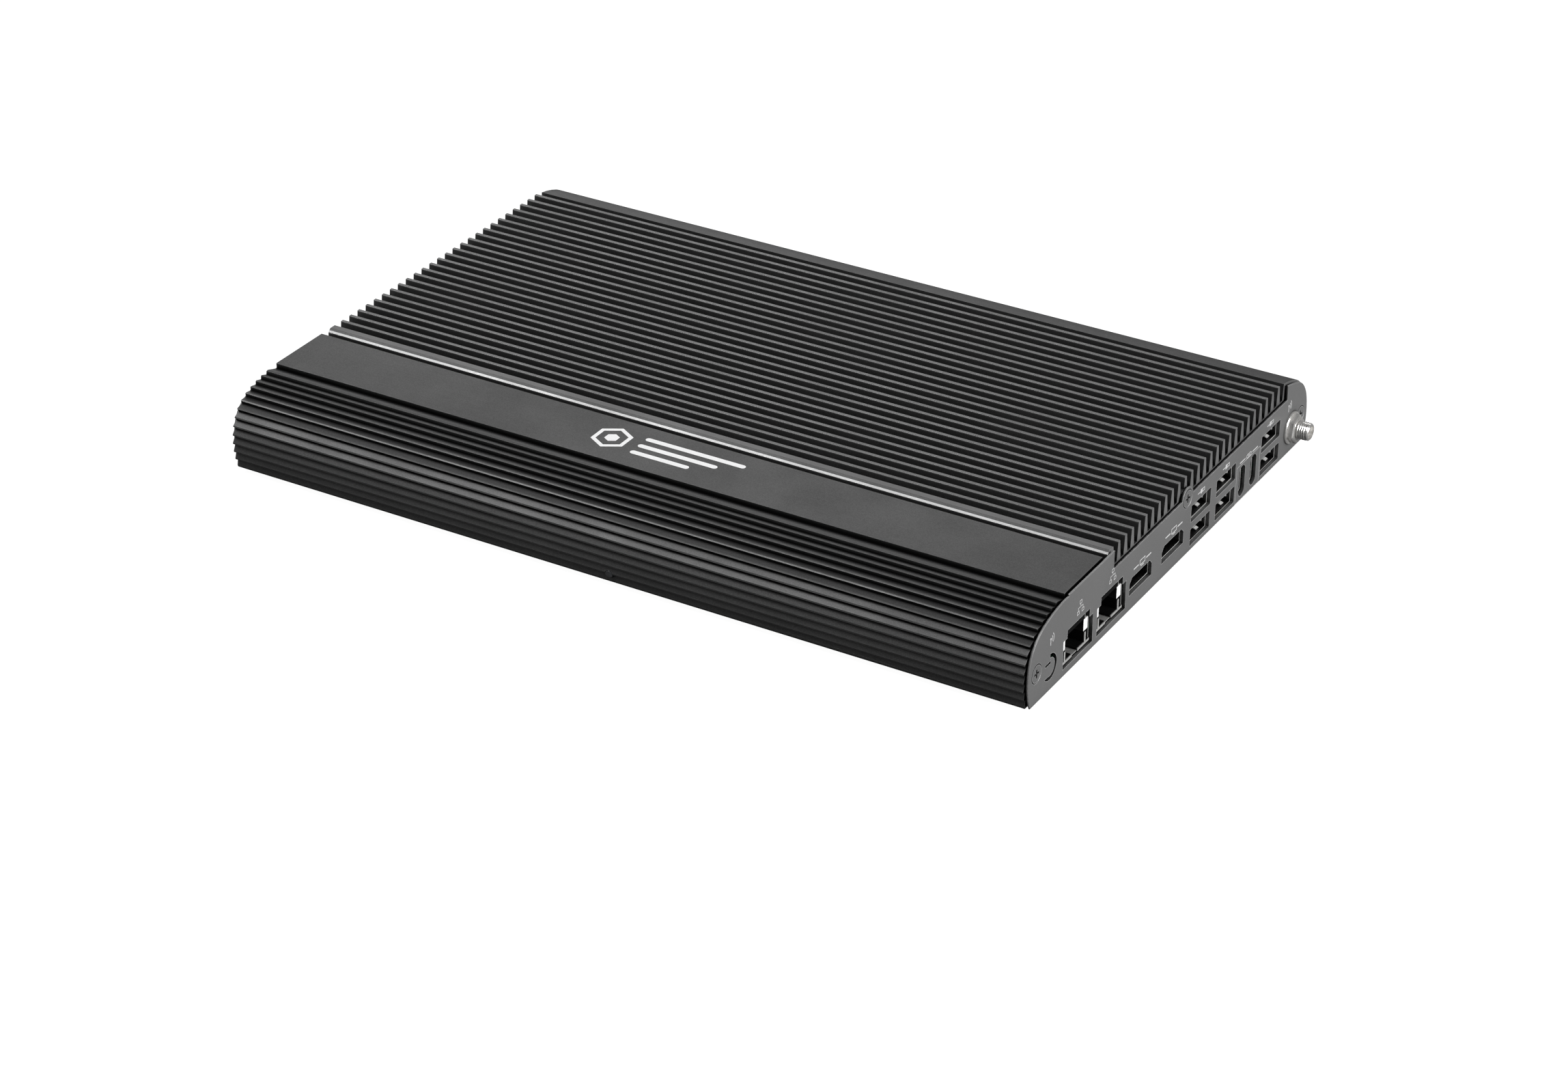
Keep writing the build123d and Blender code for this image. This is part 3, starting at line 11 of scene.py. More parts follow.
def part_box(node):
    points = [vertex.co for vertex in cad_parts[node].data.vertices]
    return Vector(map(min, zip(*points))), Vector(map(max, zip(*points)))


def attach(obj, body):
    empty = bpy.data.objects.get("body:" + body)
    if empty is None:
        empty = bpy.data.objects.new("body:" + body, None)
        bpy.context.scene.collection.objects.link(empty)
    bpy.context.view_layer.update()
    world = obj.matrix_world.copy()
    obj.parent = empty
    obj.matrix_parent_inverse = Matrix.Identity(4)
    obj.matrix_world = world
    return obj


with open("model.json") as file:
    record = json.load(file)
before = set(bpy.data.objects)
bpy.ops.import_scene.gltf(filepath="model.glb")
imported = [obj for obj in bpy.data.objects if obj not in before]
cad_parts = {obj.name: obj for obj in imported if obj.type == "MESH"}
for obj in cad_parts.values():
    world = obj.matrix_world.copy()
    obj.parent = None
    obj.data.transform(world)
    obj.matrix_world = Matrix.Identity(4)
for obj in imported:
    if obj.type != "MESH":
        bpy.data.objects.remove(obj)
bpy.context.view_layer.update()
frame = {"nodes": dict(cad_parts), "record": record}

MM = 0.001
nodes = frame["nodes"]
PANEL_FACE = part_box("right_panel")[1][0]
LEFT_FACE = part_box("left_panel")[0][0]
CASE_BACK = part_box("housing")[1][1]
BAND_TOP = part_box("housing")[1][2]

# ---- camera -----------------------------------------------------------------------------

CAMERA_PLACE = (0.5302, -0.8917, 0.5686)
CAMERA_TILT, CAMERA_TURN = 60.0, 30.68  # degrees from straight down, and round to the right

camera_data = bpy.data.cameras.new("camera")
camera = bpy.data.objects.new("camera", camera_data)
bpy.context.collection.objects.link(camera)
camera.location = CAMERA_PLACE
camera.rotation_euler = (math.radians(CAMERA_TILT), 0.0, math.radians(CAMERA_TURN))
camera_data.lens = 89.1
camera_data.sensor_width = 36.0
camera_data.clip_start = 0.01
bpy.context.scene.camera = camera
bpy.context.scene.view_settings.view_transform = "Standard"

# ---- node helpers -----------------------------------------------------------------------


def socket(group, name, in_out, value=None):
    """One named number socket of a node group."""
    made = group.interface.new_socket(name=name, in_out=in_out, socket_type="NodeSocketFloat")
    if value is not None:
        made.default_value = value


def new_group(name, takes, gives):
    """A node group with float inputs and float outputs, and its two end nodes."""
    group = bpy.data.node_groups.new(name, "ShaderNodeTree")
    for label, value in takes.items():
        socket(group, label, "INPUT", value)
    for label in gives:
        socket(group, label, "OUTPUT")
    entry = group.nodes.new("NodeGroupInput")
    leave = group.nodes.new("NodeGroupOutput")
    return group, entry, leave


def link_or_set(tree, source, target):
    """Feeds an input from a socket, or sets it to a plain number."""
    if isinstance(source, bpy.types.NodeSocket):
        tree.links.new(source, target)
    else:
        target.default_value = source


def math_node(tree, kind, first, second, third=0.0):
    """A Math node fed by sockets or by plain numbers."""
    node = tree.nodes.new("ShaderNodeMath")
    node.operation = kind
    for place, value in enumerate((first, second, third)):
        link_or_set(tree, value, node.inputs[place])
    return node.outputs[0]


def noise(tree, vector, scale, detail=2.0, roughness=0.5):
    """Soft random values over the surface, scale per metre."""
    node = tree.nodes.new("ShaderNodeTexNoise")
    node.inputs["Detail"].default_value = detail
    node.inputs["Roughness"].default_value = roughness
    tree.links.new(vector, node.inputs["Vector"])
    link_or_set(tree, scale, node.inputs["Scale"])
    return node.outputs["Fac"]


def spread(tree, value, low, high, to_low=0.0, to_high=1.0):
    """A value's part between low and high, spread smoothly over a new range."""
    node = tree.nodes.new("ShaderNodeMapRange")
    node.interpolation_type = "SMOOTHSTEP"
    tree.links.new(value, node.inputs["Value"])
    for label, limit in (("From Min", low), ("From Max", high), ("To Min", to_low), ("To Max", to_high)):
        link_or_set(tree, limit, node.inputs[label])
    return node.outputs["Result"]


def place_vector(tree, stretch=(1.0, 1.0, 1.0)):
    """Where a point is on the object, in metres, stretched along the axes."""
    place = tree.nodes.new("ShaderNodeTexCoord")
    mapping = tree.nodes.new("ShaderNodeMapping")
    mapping.inputs["Scale"].default_value = stretch
    tree.links.new(place.outputs["Object"], mapping.inputs["Vector"])
    return mapping.outputs["Vector"]


# ---- shared effects ---------------------------------------------------------------------


def fine_grain_group():
    """Blasted or moulded skin: fine grains over soft clouds."""
    group, entry, leave = new_group(
        "fine_grain", {"Grains per metre": 3500.0, "Clouds per metre": 60.0}, ("Grain", "Clouds")
    )
    where = place_vector(group)
    fine = noise(group, where, entry.outputs["Grains per metre"], 3.0, 0.65)
    clouds = noise(group, where, entry.outputs["Clouds per metre"], 3.0, 0.55)
    group.links.new(spread(group, fine, 0.3, 0.7), leave.inputs["Grain"])
    group.links.new(spread(group, clouds, 0.3, 0.7), leave.inputs["Clouds"])
    return group


def drawn_lines_group():
    """Faint lines that a die leaves along an extrusion."""
    group, entry, leave = new_group("drawn_lines", {"Lines per metre": 1800.0}, ("Lines",))
    where = place_vector(group, (0.006, 1.0, 1.0))
    lines = noise(group, where, entry.outputs["Lines per metre"], 2.0, 0.7)
    group.links.new(spread(group, lines, 0.32, 0.68), leave.inputs["Lines"])
    return group


def wear_and_highlight_edges_group():
    """Mask of the outer edges, where a finish thins and wears; the paler colour laid on it is partly wear
    and partly a painted highlight.
    """
    group, entry, leave = new_group("wear_and_highlight_edges", {"Reach": 0.0003}, ("Edge",))
    soft = group.nodes.new("ShaderNodeBevel")
    soft.samples = 4
    group.links.new(entry.outputs["Reach"], soft.inputs["Radius"])
    plain = group.nodes.new("ShaderNodeNewGeometry")
    dot = group.nodes.new("ShaderNodeVectorMath")
    dot.operation = "DOT_PRODUCT"
    group.links.new(soft.outputs["Normal"], dot.inputs[0])
    group.links.new(plain.outputs["Normal"], dot.inputs[1])
    group.links.new(spread(group, dot.outputs["Value"], 0.995, 0.8), leave.inputs["Edge"])
    return group


def handling_group():
    """Faint smudges and dust that change only the gloss."""
    group, entry, leave = new_group("handling", {"Smudges per metre": 28.0}, ("Smudge",))
    where = place_vector(group)
    broad = noise(group, where, entry.outputs["Smudges per metre"], 4.0, 0.6)
    group.links.new(spread(group, broad, 0.45, 0.75), leave.inputs["Smudge"])
    return group


def recess_painted_shade_group():
    """Mask of grooves and deep corners, which hardly any light gets into; the dark colour laid on it is
    painted shade.
    """
    group, entry, leave = new_group("recess_painted_shade", {"Depth": 0.002, "Start": 0.3, "End": 0.75}, ("Recess",))
    around = group.nodes.new("ShaderNodeAmbientOcclusion")
    around.samples = 8
    group.links.new(entry.outputs["Depth"], around.inputs["Distance"])
    start, end = entry.outputs["Start"], entry.outputs["End"]
    group.links.new(spread(group, around.outputs["AO"], start, end, 1.0, 0.0), leave.inputs["Recess"])
    return group


def long_strip_group():
    """Mask of a strip along the case: between a front and a back edge, and above a foot."""
    group, entry, leave = new_group("long_strip", {"Front": 0.0, "Back": 0.0, "Foot": 0.0}, ("Strip",))
    place = group.nodes.new("ShaderNodeTexCoord")
    apart = group.nodes.new("ShaderNodeSeparateXYZ")
    group.links.new(place.outputs["Object"], apart.inputs["Vector"])
    behind = math_node(group, "GREATER_THAN", apart.outputs["Y"], entry.outputs["Front"])
    before = math_node(group, "LESS_THAN", apart.outputs["Y"], entry.outputs["Back"])
    above = math_node(group, "GREATER_THAN", apart.outputs["Z"], entry.outputs["Foot"])
    both = math_node(group, "MULTIPLY", behind, before)
    group.links.new(math_node(group, "MULTIPLY", both, above), leave.inputs["Strip"])
    return group


def right_faces_group():
    """Mask of the faces that look straight out of the right end."""
    group, entry, leave = new_group("right_faces", {"Least": 0.7}, ("Facing",))
    shape = group.nodes.new("ShaderNodeNewGeometry")
    apart = group.nodes.new("ShaderNodeSeparateXYZ")
    group.links.new(shape.outputs["Normal"], apart.inputs["Vector"])
    facing = math_node(group, "GREATER_THAN", apart.outputs["X"], entry.outputs["Least"])
    group.links.new(facing, leave.inputs["Facing"])
    return group


FINE_GRAIN = fine_grain_group()
LONG_STRIP = long_strip_group()
RIGHT_FACES = right_faces_group()
RECESS_PAINTED_SHADE = recess_painted_shade_group()
DRAWN_LINES = drawn_lines_group()
WEAR_AND_HIGHLIGHT_EDGES = wear_and_highlight_edges_group()
HANDLING = handling_group()


def use(tree, group, **values):
    """A group placed in a material with its own values."""
    node = tree.nodes.new("ShaderNodeGroup")
    node.node_tree = group
    for label, value in values.items():
        node.inputs[label.replace("_", " ")].default_value = value
    return node


def between(tree, mask, dark, light):
    """Colour that goes from dark to light with a mask."""
    node = tree.nodes.new("ShaderNodeMix")
    node.data_type = "RGBA"
    tree.links.new(mask, node.inputs["Factor"])
    for place, colour in (("A", dark), ("B", light)):
        target = next(s for s in node.inputs if s.name == place and s.type == "RGBA")
        if isinstance(colour, bpy.types.NodeSocket):
            tree.links.new(colour, target)
        else:
            target.default_value = (*colour, 1.0)
    return next(s for s in node.outputs if s.type == "RGBA")


def bump(tree, shader, height, distance, strength=1.0):
    """Small relief on the shader's normal."""
    node = tree.nodes.new("ShaderNodeBump")
    node.inputs["Distance"].default_value = distance
    node.inputs["Strength"].default_value = strength
    tree.links.new(height, node.inputs["Height"])
    tree.links.new(node.outputs["Normal"], shader.inputs["Normal"])


def new_finish(name, metallic=0.0, **fixed):
    """A material with a Principled shader and the values that don't change over it."""
    material = bpy.data.materials.new(name)
    material.use_nodes = True
    tree = material.node_tree
    shader = tree.nodes["Principled BSDF"]
    shader.inputs["Metallic"].default_value = metallic
    for label, value in fixed.items():
        shader.inputs[label.replace("_", " ")].default_value = value
    return material, tree, shader


def grey(level):
    """Neutral colour of one level."""
    return (level, level, level)


# ---- finishes of the case ---------------------------------------------------------------


def anodised(name, dark, light, rough, edge, grains=3800.0, relief=0.000006, metallic=0.85,
             depth=0.0025, edge_share=0.55):
    """Blasted and anodised aluminium: fine sparkle, paler edges that are partly wear and partly a painted
    highlight, and painted shade that turns grooves and deep corners near black.
    """
    material, tree, shader = new_finish(name, metallic=metallic)
    grain = use(tree, FINE_GRAIN, Grains_per_metre=grains, Clouds_per_metre=45.0)
    colour = between(tree, grain.outputs["Grain"], dark, light)
    # Paler edges: partly wear, partly a painted highlight.
    wear_and_highlight = use(tree, WEAR_AND_HIGHLIGHT_EDGES, Reach=0.0003)
    share = math_node(tree, "MULTIPLY", wear_and_highlight.outputs["Edge"], edge_share)
    colour = between(tree, share, colour, edge)
    # Painted shade: grooves and deep corners are painted near black.
    recess = use(tree, RECESS_PAINTED_SHADE, Depth=depth, Start=0.5, End=0.94)
    painted_shade_share = math_node(tree, "MULTIPLY", recess.outputs["Recess"], 0.96)
    colour = between(tree, painted_shade_share, colour, grey(0.002))
    smudge = use(tree, HANDLING, Smudges_per_metre=24.0)
    low = math_node(tree, "MULTIPLY_ADD", smudge.outputs["Smudge"], 0.05, rough)
    gloss = math_node(tree, "MULTIPLY_ADD", grain.outputs["Clouds"], 0.05, low)
    tree.links.new(colour, shader.inputs["Base Color"])
    tree.links.new(gloss, shader.inputs["Roughness"])
    bump(tree, shader, grain.outputs["Grain"], relief)
    return material


RIDGE_FOOT, BEVEL_BACK, RIDGE_TOP = -42.75 * MM, -42.2 * MM, -41.5 * MM  # front to back, on the ridge
FIN_FOOT = 8.0 * MM


def case_anodised():
    """The extrusion: dark anodised, faint die lines, a painted highlight on the fin tops, painted light on
    the cut fin ends that face right, one bright bevel.
    """
    material = anodised("case_dark_anodised", grey(0.06), grey(0.1), 0.48, grey(0.34))
    tree = material.node_tree
    shader = tree.nodes["Principled BSDF"]
    colour = shader.inputs["Base Color"].links[0].from_socket
    gloss = shader.inputs["Roughness"].links[0].from_socket
    drawn = use(tree, DRAWN_LINES, Lines_per_metre=1500.0)
    faint = math_node(tree, "MULTIPLY", drawn.outputs["Lines"], 0.12)
    colour = between(tree, faint, colour, grey(0.045))
    # Painted highlight: the fin tops are painted paler than the same finish elsewhere.
    fin_top_highlight = use(tree, LONG_STRIP, Front=RIDGE_TOP, Back=CASE_BACK + 0.1 * MM, Foot=BAND_TOP - 0.4 * MM)
    colour = between(tree, math_node(tree, "MULTIPLY", fin_top_highlight.outputs["Strip"], 0.8), colour, grey(0.17))
    # Painted light: only the fin ends that face right are painted pale.
    fins = use(tree, LONG_STRIP, Front=RIDGE_FOOT, Back=CASE_BACK + 0.1 * MM, Foot=FIN_FOOT)
    lit_right_faces = use(tree, RIGHT_FACES, Least=0.7)
    ends = math_node(tree, "MULTIPLY", fins.outputs["Strip"], lit_right_faces.outputs["Facing"])
    colour = between(tree, math_node(tree, "MULTIPLY", ends, 0.85), colour, grey(0.36))
    bevel = use(tree, LONG_STRIP, Front=RIDGE_FOOT, Back=BEVEL_BACK, Foot=BAND_TOP - 1.3 * MM)
    colour = between(tree, bevel.outputs["Strip"], colour, grey(0.3))
    tree.links.new(colour, shader.inputs["Base Color"])
    shine = math_node(tree, "MULTIPLY_ADD", bevel.outputs["Strip"], -0.1, gloss)
    tree.links.new(shine, shader.inputs["Roughness"])
    return material


def painted_cover():
    """Black powder coat with a fine orange-peel skin."""
    material, tree, shader = new_finish("cover_black_powder_coat", metallic=0.0, IOR=1.5)
    grain = use(tree, FINE_GRAIN, Grains_per_metre=2200.0, Clouds_per_metre=80.0)
    colour = between(tree, grain.outputs["Clouds"], grey(0.014), grey(0.024))
    wear_and_highlight = use(tree, WEAR_AND_HIGHLIGHT_EDGES, Reach=0.0003)
    share = math_node(tree, "MULTIPLY", wear_and_highlight.outputs["Edge"], 0.3)
    tree.links.new(between(tree, share, colour, grey(0.09)), shader.inputs["Base Color"])
    gloss = math_node(tree, "MULTIPLY_ADD", grain.outputs["Grain"], 0.12, 0.46)
    tree.links.new(gloss, shader.inputs["Roughness"])
    bump(tree, shader, grain.outputs["Grain"], 0.00004)
    return material


def metal(name, dark, light, rough, stretch=(1.0, 1.0, 1.0), lines=900.0, relief=0.000003, edge=None,
          metallic=1.0, depth=0.0):
    """Plain or plated metal with the fine lines of rolling or turning."""
    material, tree, shader = new_finish(name, metallic=metallic)
    where = place_vector(tree, stretch)
    streaks = spread(tree, noise(tree, where, lines, 4.0, 0.7), 0.3, 0.7)
    colour = between(tree, streaks, dark, light)
    # Paler edges: partly wear, partly a painted highlight.
    if edge:
        wear_and_highlight = use(tree, WEAR_AND_HIGHLIGHT_EDGES, Reach=0.0002)
        share = math_node(tree, "MULTIPLY", wear_and_highlight.outputs["Edge"], 0.6)
        colour = between(tree, share, colour, edge)
    # Painted shade: grooves and deep corners are painted near black, except on faces that look out of the
    # right end.
    if depth:
        recess = use(tree, RECESS_PAINTED_SHADE, Depth=depth, Start=0.4, End=0.95)
        facing = use(tree, RIGHT_FACES, Least=0.7)
        inside = math_node(tree, "SUBTRACT", 1.0, facing.outputs["Facing"])
        painted_shade_share = math_node(tree, "MULTIPLY", recess.outputs["Recess"], inside)
        colour = between(tree, painted_shade_share, colour, grey(0.003))
    tree.links.new(colour, shader.inputs["Base Color"])
    smudge = use(tree, HANDLING, Smudges_per_metre=120.0)
    base = math_node(tree, "MULTIPLY_ADD", streaks, 0.08, rough)
    gloss = math_node(tree, "MULTIPLY_ADD", smudge.outputs["Smudge"], 0.08, base)
    tree.links.new(gloss, shader.inputs["Roughness"])
    bump(tree, shader, streaks, relief)
    return material


def moulded(name, dark, light, rough, grains=2600.0, relief=0.00001, edge=None, **fixed):
    """Moulded plastic or rubber with a fine spark-eroded skin."""
    material, tree, shader = new_finish(name, **fixed)
    grain = use(tree, FINE_GRAIN, Grains_per_metre=grains, Clouds_per_metre=150.0)
    colour = between(tree, grain.outputs["Clouds"], dark, light)
    # Paler edges: partly wear, partly a painted highlight.
    if edge:
        wear_and_highlight = use(tree, WEAR_AND_HIGHLIGHT_EDGES, Reach=0.0004)
        colour = between(tree, wear_and_highlight.outputs["Edge"], colour, edge)
    tree.links.new(colour, shader.inputs["Base Color"])
    gloss = math_node(tree, "MULTIPLY_ADD", grain.outputs["Grain"], 0.1, rough)
    tree.links.new(gloss, shader.inputs["Roughness"])
    bump(tree, shader, grain.outputs["Grain"], relief)
    return material


def printed_ink(name, dark, light):
    """Pale screen-printed ink, a little uneven."""
    material, tree, shader = new_finish(name)
    grain = use(tree, FINE_GRAIN, Grains_per_metre=5000.0, Clouds_per_metre=300.0)
    tree.links.new(between(tree, grain.outputs["Grain"], dark, light), shader.inputs["Base Color"])
    gloss = math_node(tree, "MULTIPLY_ADD", grain.outputs["Clouds"], 0.12, 0.42)
    tree.links.new(gloss, shader.inputs["Roughness"])
    bump(tree, shader, grain.outputs["Grain"], 0.000004)
    return material


def circuit_board():
    """Dark green solder mask over copper tracks that run in blocks."""
    material, tree, shader = new_finish("board_green_mask", Coat_Roughness=0.15)
    where = place_vector(tree)
    blocks = tree.nodes.new("ShaderNodeTexBrick")
    blocks.inputs["Scale"].default_value = 260.0
    blocks.inputs["Mortar Size"].default_value = 0.06
    blocks.inputs["Mortar Smooth"].default_value = 0.2
    tree.links.new(where, blocks.inputs["Vector"])
    tracks = blocks.outputs["Fac"]
    grain = use(tree, FINE_GRAIN, Grains_per_metre=1500.0, Clouds_per_metre=90.0)
    ground = between(tree, grain.outputs["Clouds"], (0.004, 0.03, 0.014), (0.008, 0.05, 0.024))
    share = math_node(tree, "MULTIPLY", tracks, 0.6)
    tree.links.new(between(tree, share, ground, (0.02, 0.11, 0.05)), shader.inputs["Base Color"])
    tree.links.new(math_node(tree, "MULTIPLY_ADD", tracks, -0.1, 0.4), shader.inputs["Roughness"])
    shader.inputs["Coat Weight"].default_value = 0.4
    bump(tree, shader, tracks, 0.00003)
    return material


def ribbed_ribbon():
    """Flat grey ribbon cable: fine ridges, one for each wire."""
    material, tree, shader = new_finish("ribbon_grey_wires")
    wave = tree.nodes.new("ShaderNodeTexWave")
    wave.wave_type = "BANDS"
    wave.bands_direction = "Y"
    wave.inputs["Scale"].default_value = 125.0
    wave.inputs["Distortion"].default_value = 0.0
    tree.links.new(place_vector(tree), wave.inputs["Vector"])
    ridges = wave.outputs["Fac"]
    # The colour is darker in the valleys between the ridges and paler on their tops: painted shade and light
    # that follow the relief.
    tree.links.new(between(tree, ridges, grey(0.2), grey(0.42)), shader.inputs["Base Color"])
    tree.links.new(math_node(tree, "MULTIPLY_ADD", ridges, -0.15, 0.6), shader.inputs["Roughness"])
    bump(tree, shader, ridges, 0.0001)
    return material


def light_plastic(name, dark, light, glow, rough, painted_dark_sides=False):
    """Milky plastic over a small light; on request, every face but those looking out of the right end is
    painted dark, as shade.
    """
    material, tree, shader = new_finish(name, Emission_Strength=glow)
    grain = use(tree, FINE_GRAIN, Grains_per_metre=1800.0, Clouds_per_metre=250.0)
    colour = between(tree, grain.outputs["Clouds"], dark, light)
    # Painted shade: faces that don't look out of the right end are painted near black.
    if painted_dark_sides:
        facing = use(tree, RIGHT_FACES, Least=0.7)
        colour = between(tree, facing.outputs["Facing"], grey(0.004), colour)
    tree.links.new(colour, shader.inputs["Base Color"])
    tree.links.new(colour, shader.inputs["Emission Color"])
    gloss = math_node(tree, "MULTIPLY_ADD", grain.outputs["Grain"], 0.1, rough)
    tree.links.new(gloss, shader.inputs["Roughness"])
    bump(tree, shader, grain.outputs["Grain"], 0.000004)
    return material


case_finish = case_anodised()
# The panel's edges are painted pale as a highlight, and its grooves and deep corners near black as shade.
panel_finish = anodised("panel_satin_anodised", grey(0.15), grey(0.18), 0.42, grey(0.75), grains=5200.0,
                        relief=0.000003, metallic=0.25, depth=0.004, edge_share=0.9)
nickel = metal("socket_bright_nickel", (0.7, 0.69, 0.67), (0.88, 0.87, 0.85), 0.16, relief=0.000002,
               metallic=0.75)
spring_steel = metal("spring_bright_steel", (0.75, 0.75, 0.74), (0.9, 0.9, 0.88), 0.3, metallic=0.4)
port_ink = printed_ink("port_sign_grey_ink", grey(0.5), grey(0.62))
band_ink = printed_ink("band_sign_silver_ink", grey(0.78), grey(0.88))

FINISHES = {
    "anodised_case": case_finish,
    "panel_finish": panel_finish,
    "cover_paint": painted_cover(),
    "dark_screw": anodised("screw_dark_oxide", grey(0.16), grey(0.2), 0.34, grey(0.6), relief=0.000002,
                           metallic=0.3, depth=0.0007),
    "plain_screw": metal("screw_zinc", (0.45, 0.45, 0.46), (0.62, 0.62, 0.62), 0.28, edge=grey(0.8)),
    "insert_steel": metal("insert_plated_steel", (0.5, 0.49, 0.46), (0.68, 0.67, 0.63), 0.25,
                          edge=grey(0.8)),
    "foot_rubber": moulded("foot_black_rubber", grey(0.012), grey(0.022), 0.72, 1600.0, 0.00004),
    # The gasket's near-black colour is painted shadow for the gap round the panel.
    "gasket_rubber": moulded("gasket_black_rubber_as_gap_shadow", grey(0.004), grey(0.008), 0.85, 1600.0, 0.00002),
    "led_lens": light_plastic("front_light_lens", (0.05, 0.052, 0.055), (0.08, 0.083, 0.088), 0.0, 0.12),
    "nickel_plate": nickel,
    "insulator_white": moulded("socket_white_insulator", grey(0.62), grey(0.74), 0.4),
    "gold_contact": metal("contact_gold_plate", (0.72, 0.47, 0.16), (0.92, 0.66, 0.28), 0.18),
    "connector_black": moulded("connector_black_nylon", grey(0.002), grey(0.004), 0.6,
                               Specular_IOR_Level=0.12),
    # Socket steel: paler edges are partly wear and partly a painted highlight; grooves and deep corners
    # inside are painted near black as shade.
    "connector_steel": metal("connector_tinned_steel", (0.6, 0.6, 0.59), (0.78, 0.78, 0.76), 0.3,
                             edge=grey(0.9), metallic=0.55, depth=0.008),
    # Port light windows: their sides are painted dark as shade.
    "light_window": light_plastic("port_light_window", grey(0.78), grey(0.9), 0.12, 0.25, painted_dark_sides=True),
    # The tongue edges are painted pale grey as a highlight.
    "tongue_plastic": moulded("tongue_black_nylon", grey(0.006), grey(0.012), 0.4, edge=grey(0.7)),
    "board": circuit_board(),
    "brass_standoff": metal("standoff_brass", (0.5, 0.36, 0.14), (0.68, 0.5, 0.22), 0.25),
    "package_black": moulded("package_black_resin", grey(0.008), grey(0.016), 0.5, 3000.0, 0.000012),
    "pad_grey": moulded("thermal_pad_grey", grey(0.2), grey(0.27), 0.8, 900.0, 0.00004),
    "plain_aluminium": metal("block_milled_aluminium", (0.55, 0.55, 0.56), (0.72, 0.72, 0.73), 0.3,
                             (0.02, 1.0, 1.0)),
    "cell_steel": metal("cell_brushed_steel", (0.55, 0.55, 0.54), (0.7, 0.7, 0.69), 0.24,
                        (0.05, 1.0, 1.0)),
    "lead_black": moulded("lead_black_jacket", grey(0.012), grey(0.02), 0.4),
    "drive_metal": metal("drive_cast_aluminium", (0.4, 0.4, 0.41), (0.55, 0.55, 0.56), 0.36,
                         relief=0.00001),
    "tray_steel": metal("tray_zinc_steel", (0.5, 0.5, 0.49), (0.66, 0.66, 0.64), 0.3, (1.0, 0.03, 1.0)),
    "header_white": moulded("header_ivory_nylon", (0.58, 0.55, 0.46), (0.68, 0.65, 0.56), 0.5),
    "ribbon_grey": ribbed_ribbon(),
    "light_ring": light_plastic("button_light_ring", (0.5, 0.52, 0.54), (0.66, 0.68, 0.7), 0.05, 0.2),
    "button_metal": anodised("button_turned_anodised", grey(0.15), grey(0.2), 0.3, grey(0.55),
                             relief=0.000002, depth=0.001),
    "button_plastic": moulded("plunger_red_nylon", (0.34, 0.03, 0.02), (0.45, 0.05, 0.03), 0.45),
}

for part in frame["record"]["subparts"]:
    mesh = nodes[part["node"]].data
    finish = FINISHES[part["material_slot"]]
    if mesh.materials:
        for place in range(len(mesh.materials)):
            mesh.materials[place] = finish
    else:
        mesh.materials.append(finish)

# ---- flat signs -------------------------------------------------------------------------

# The signs are drawn in millimetres, across and up the face that they lie on.

INK_THICKNESS = 0.03
HEAVY_LINE, PLAIN_LINE, FINE_LINE, HAIR_LINE = 0.4, 0.3, 0.25, 0.2

band_plane = Matrix.Translation((0.0, 0.0, BAND_TOP))
right_plane = Matrix(((0, 0, 1, PANEL_FACE), (1, 0, 0, 0), (0, 1, 0, 0), (0, 0, 0, 1)))
left_plane = Matrix(((0, 0, -1, LEFT_FACE), (-1, 0, 0, 0), (0, 1, 0, 0), (0, 0, 0, 1)))


def sweep_loop(sheet, sections, closed):
    """Skin over a row of four-cornered sections, with end caps where it is open."""
    rows = [[sheet.verts.new(corner) for corner in section] for section in sections]
    count = len(rows)
    for place in range(count if closed else count - 1):
        here, there = rows[place], rows[(place + 1) % count]
        for side in range(4):
            other = (side + 1) % 4
            sheet.faces.new((here[side], here[other], there[other], there[side]))
    if not closed:
        sheet.faces.new(list(reversed(rows[0])))
        sheet.faces.new(rows[-1])


def stroke(sheet, path, width, closed=False):
    """Printed line of one width along a path of points."""
    points = [Vector(point) for point in path]
    count = len(points)
    sections = []
    for place, point in enumerate(points):
        before = points[place - 1] if closed or place else point
        after = points[(place + 1) % count] if closed or place < count - 1 else point
        entering = (point - before).normalized() if before != point else (after - point).normalized()
        leaving = (after - point).normalized() if after != point else entering
        along = (entering + leaving).normalized()
        across = Vector((-along.y, along.x))
        reach = 0.5 * width / max(0.35, abs(along.dot(entering)))
        low, high = (point - across * reach).to_3d(), (point + across * reach).to_3d()
        lift = Vector((0.0, 0.0, INK_THICKNESS))
        sections.append([low, high, high + lift, low + lift])
    sweep_loop(sheet, sections, closed)


def plate(sheet, outline):
    """Printed solid patch of any outline."""
    low = [sheet.verts.new((x, y, 0.0)) for x, y in outline]
    high = [sheet.verts.new((x, y, INK_THICKNESS)) for x, y in outline]
    sheet.faces.new(list(reversed(low)))
    sheet.faces.new(high)
    for place in range(len(outline)):
        following = (place + 1) % len(outline)
        sheet.faces.new((low[place], low[following], high[following], high[place]))


def ring_points(x, y, radius, count, start=0.0, sweep=360.0):
    """Points on a circle or an arc, in degrees anticlockwise."""
    steps = count if sweep == 360.0 else count - 1
    angles = [math.radians(start + sweep * step / steps) for step in range(count)]
    return [(x + radius * math.cos(angle), y + radius * math.sin(angle)) for angle in angles]


def box_points(x, y, width, height):
    """Corners of an upright box round a middle point."""
    return [(x - width / 2, y - height / 2), (x + width / 2, y - height / 2),
            (x + width / 2, y + height / 2), (x - width / 2, y + height / 2)]


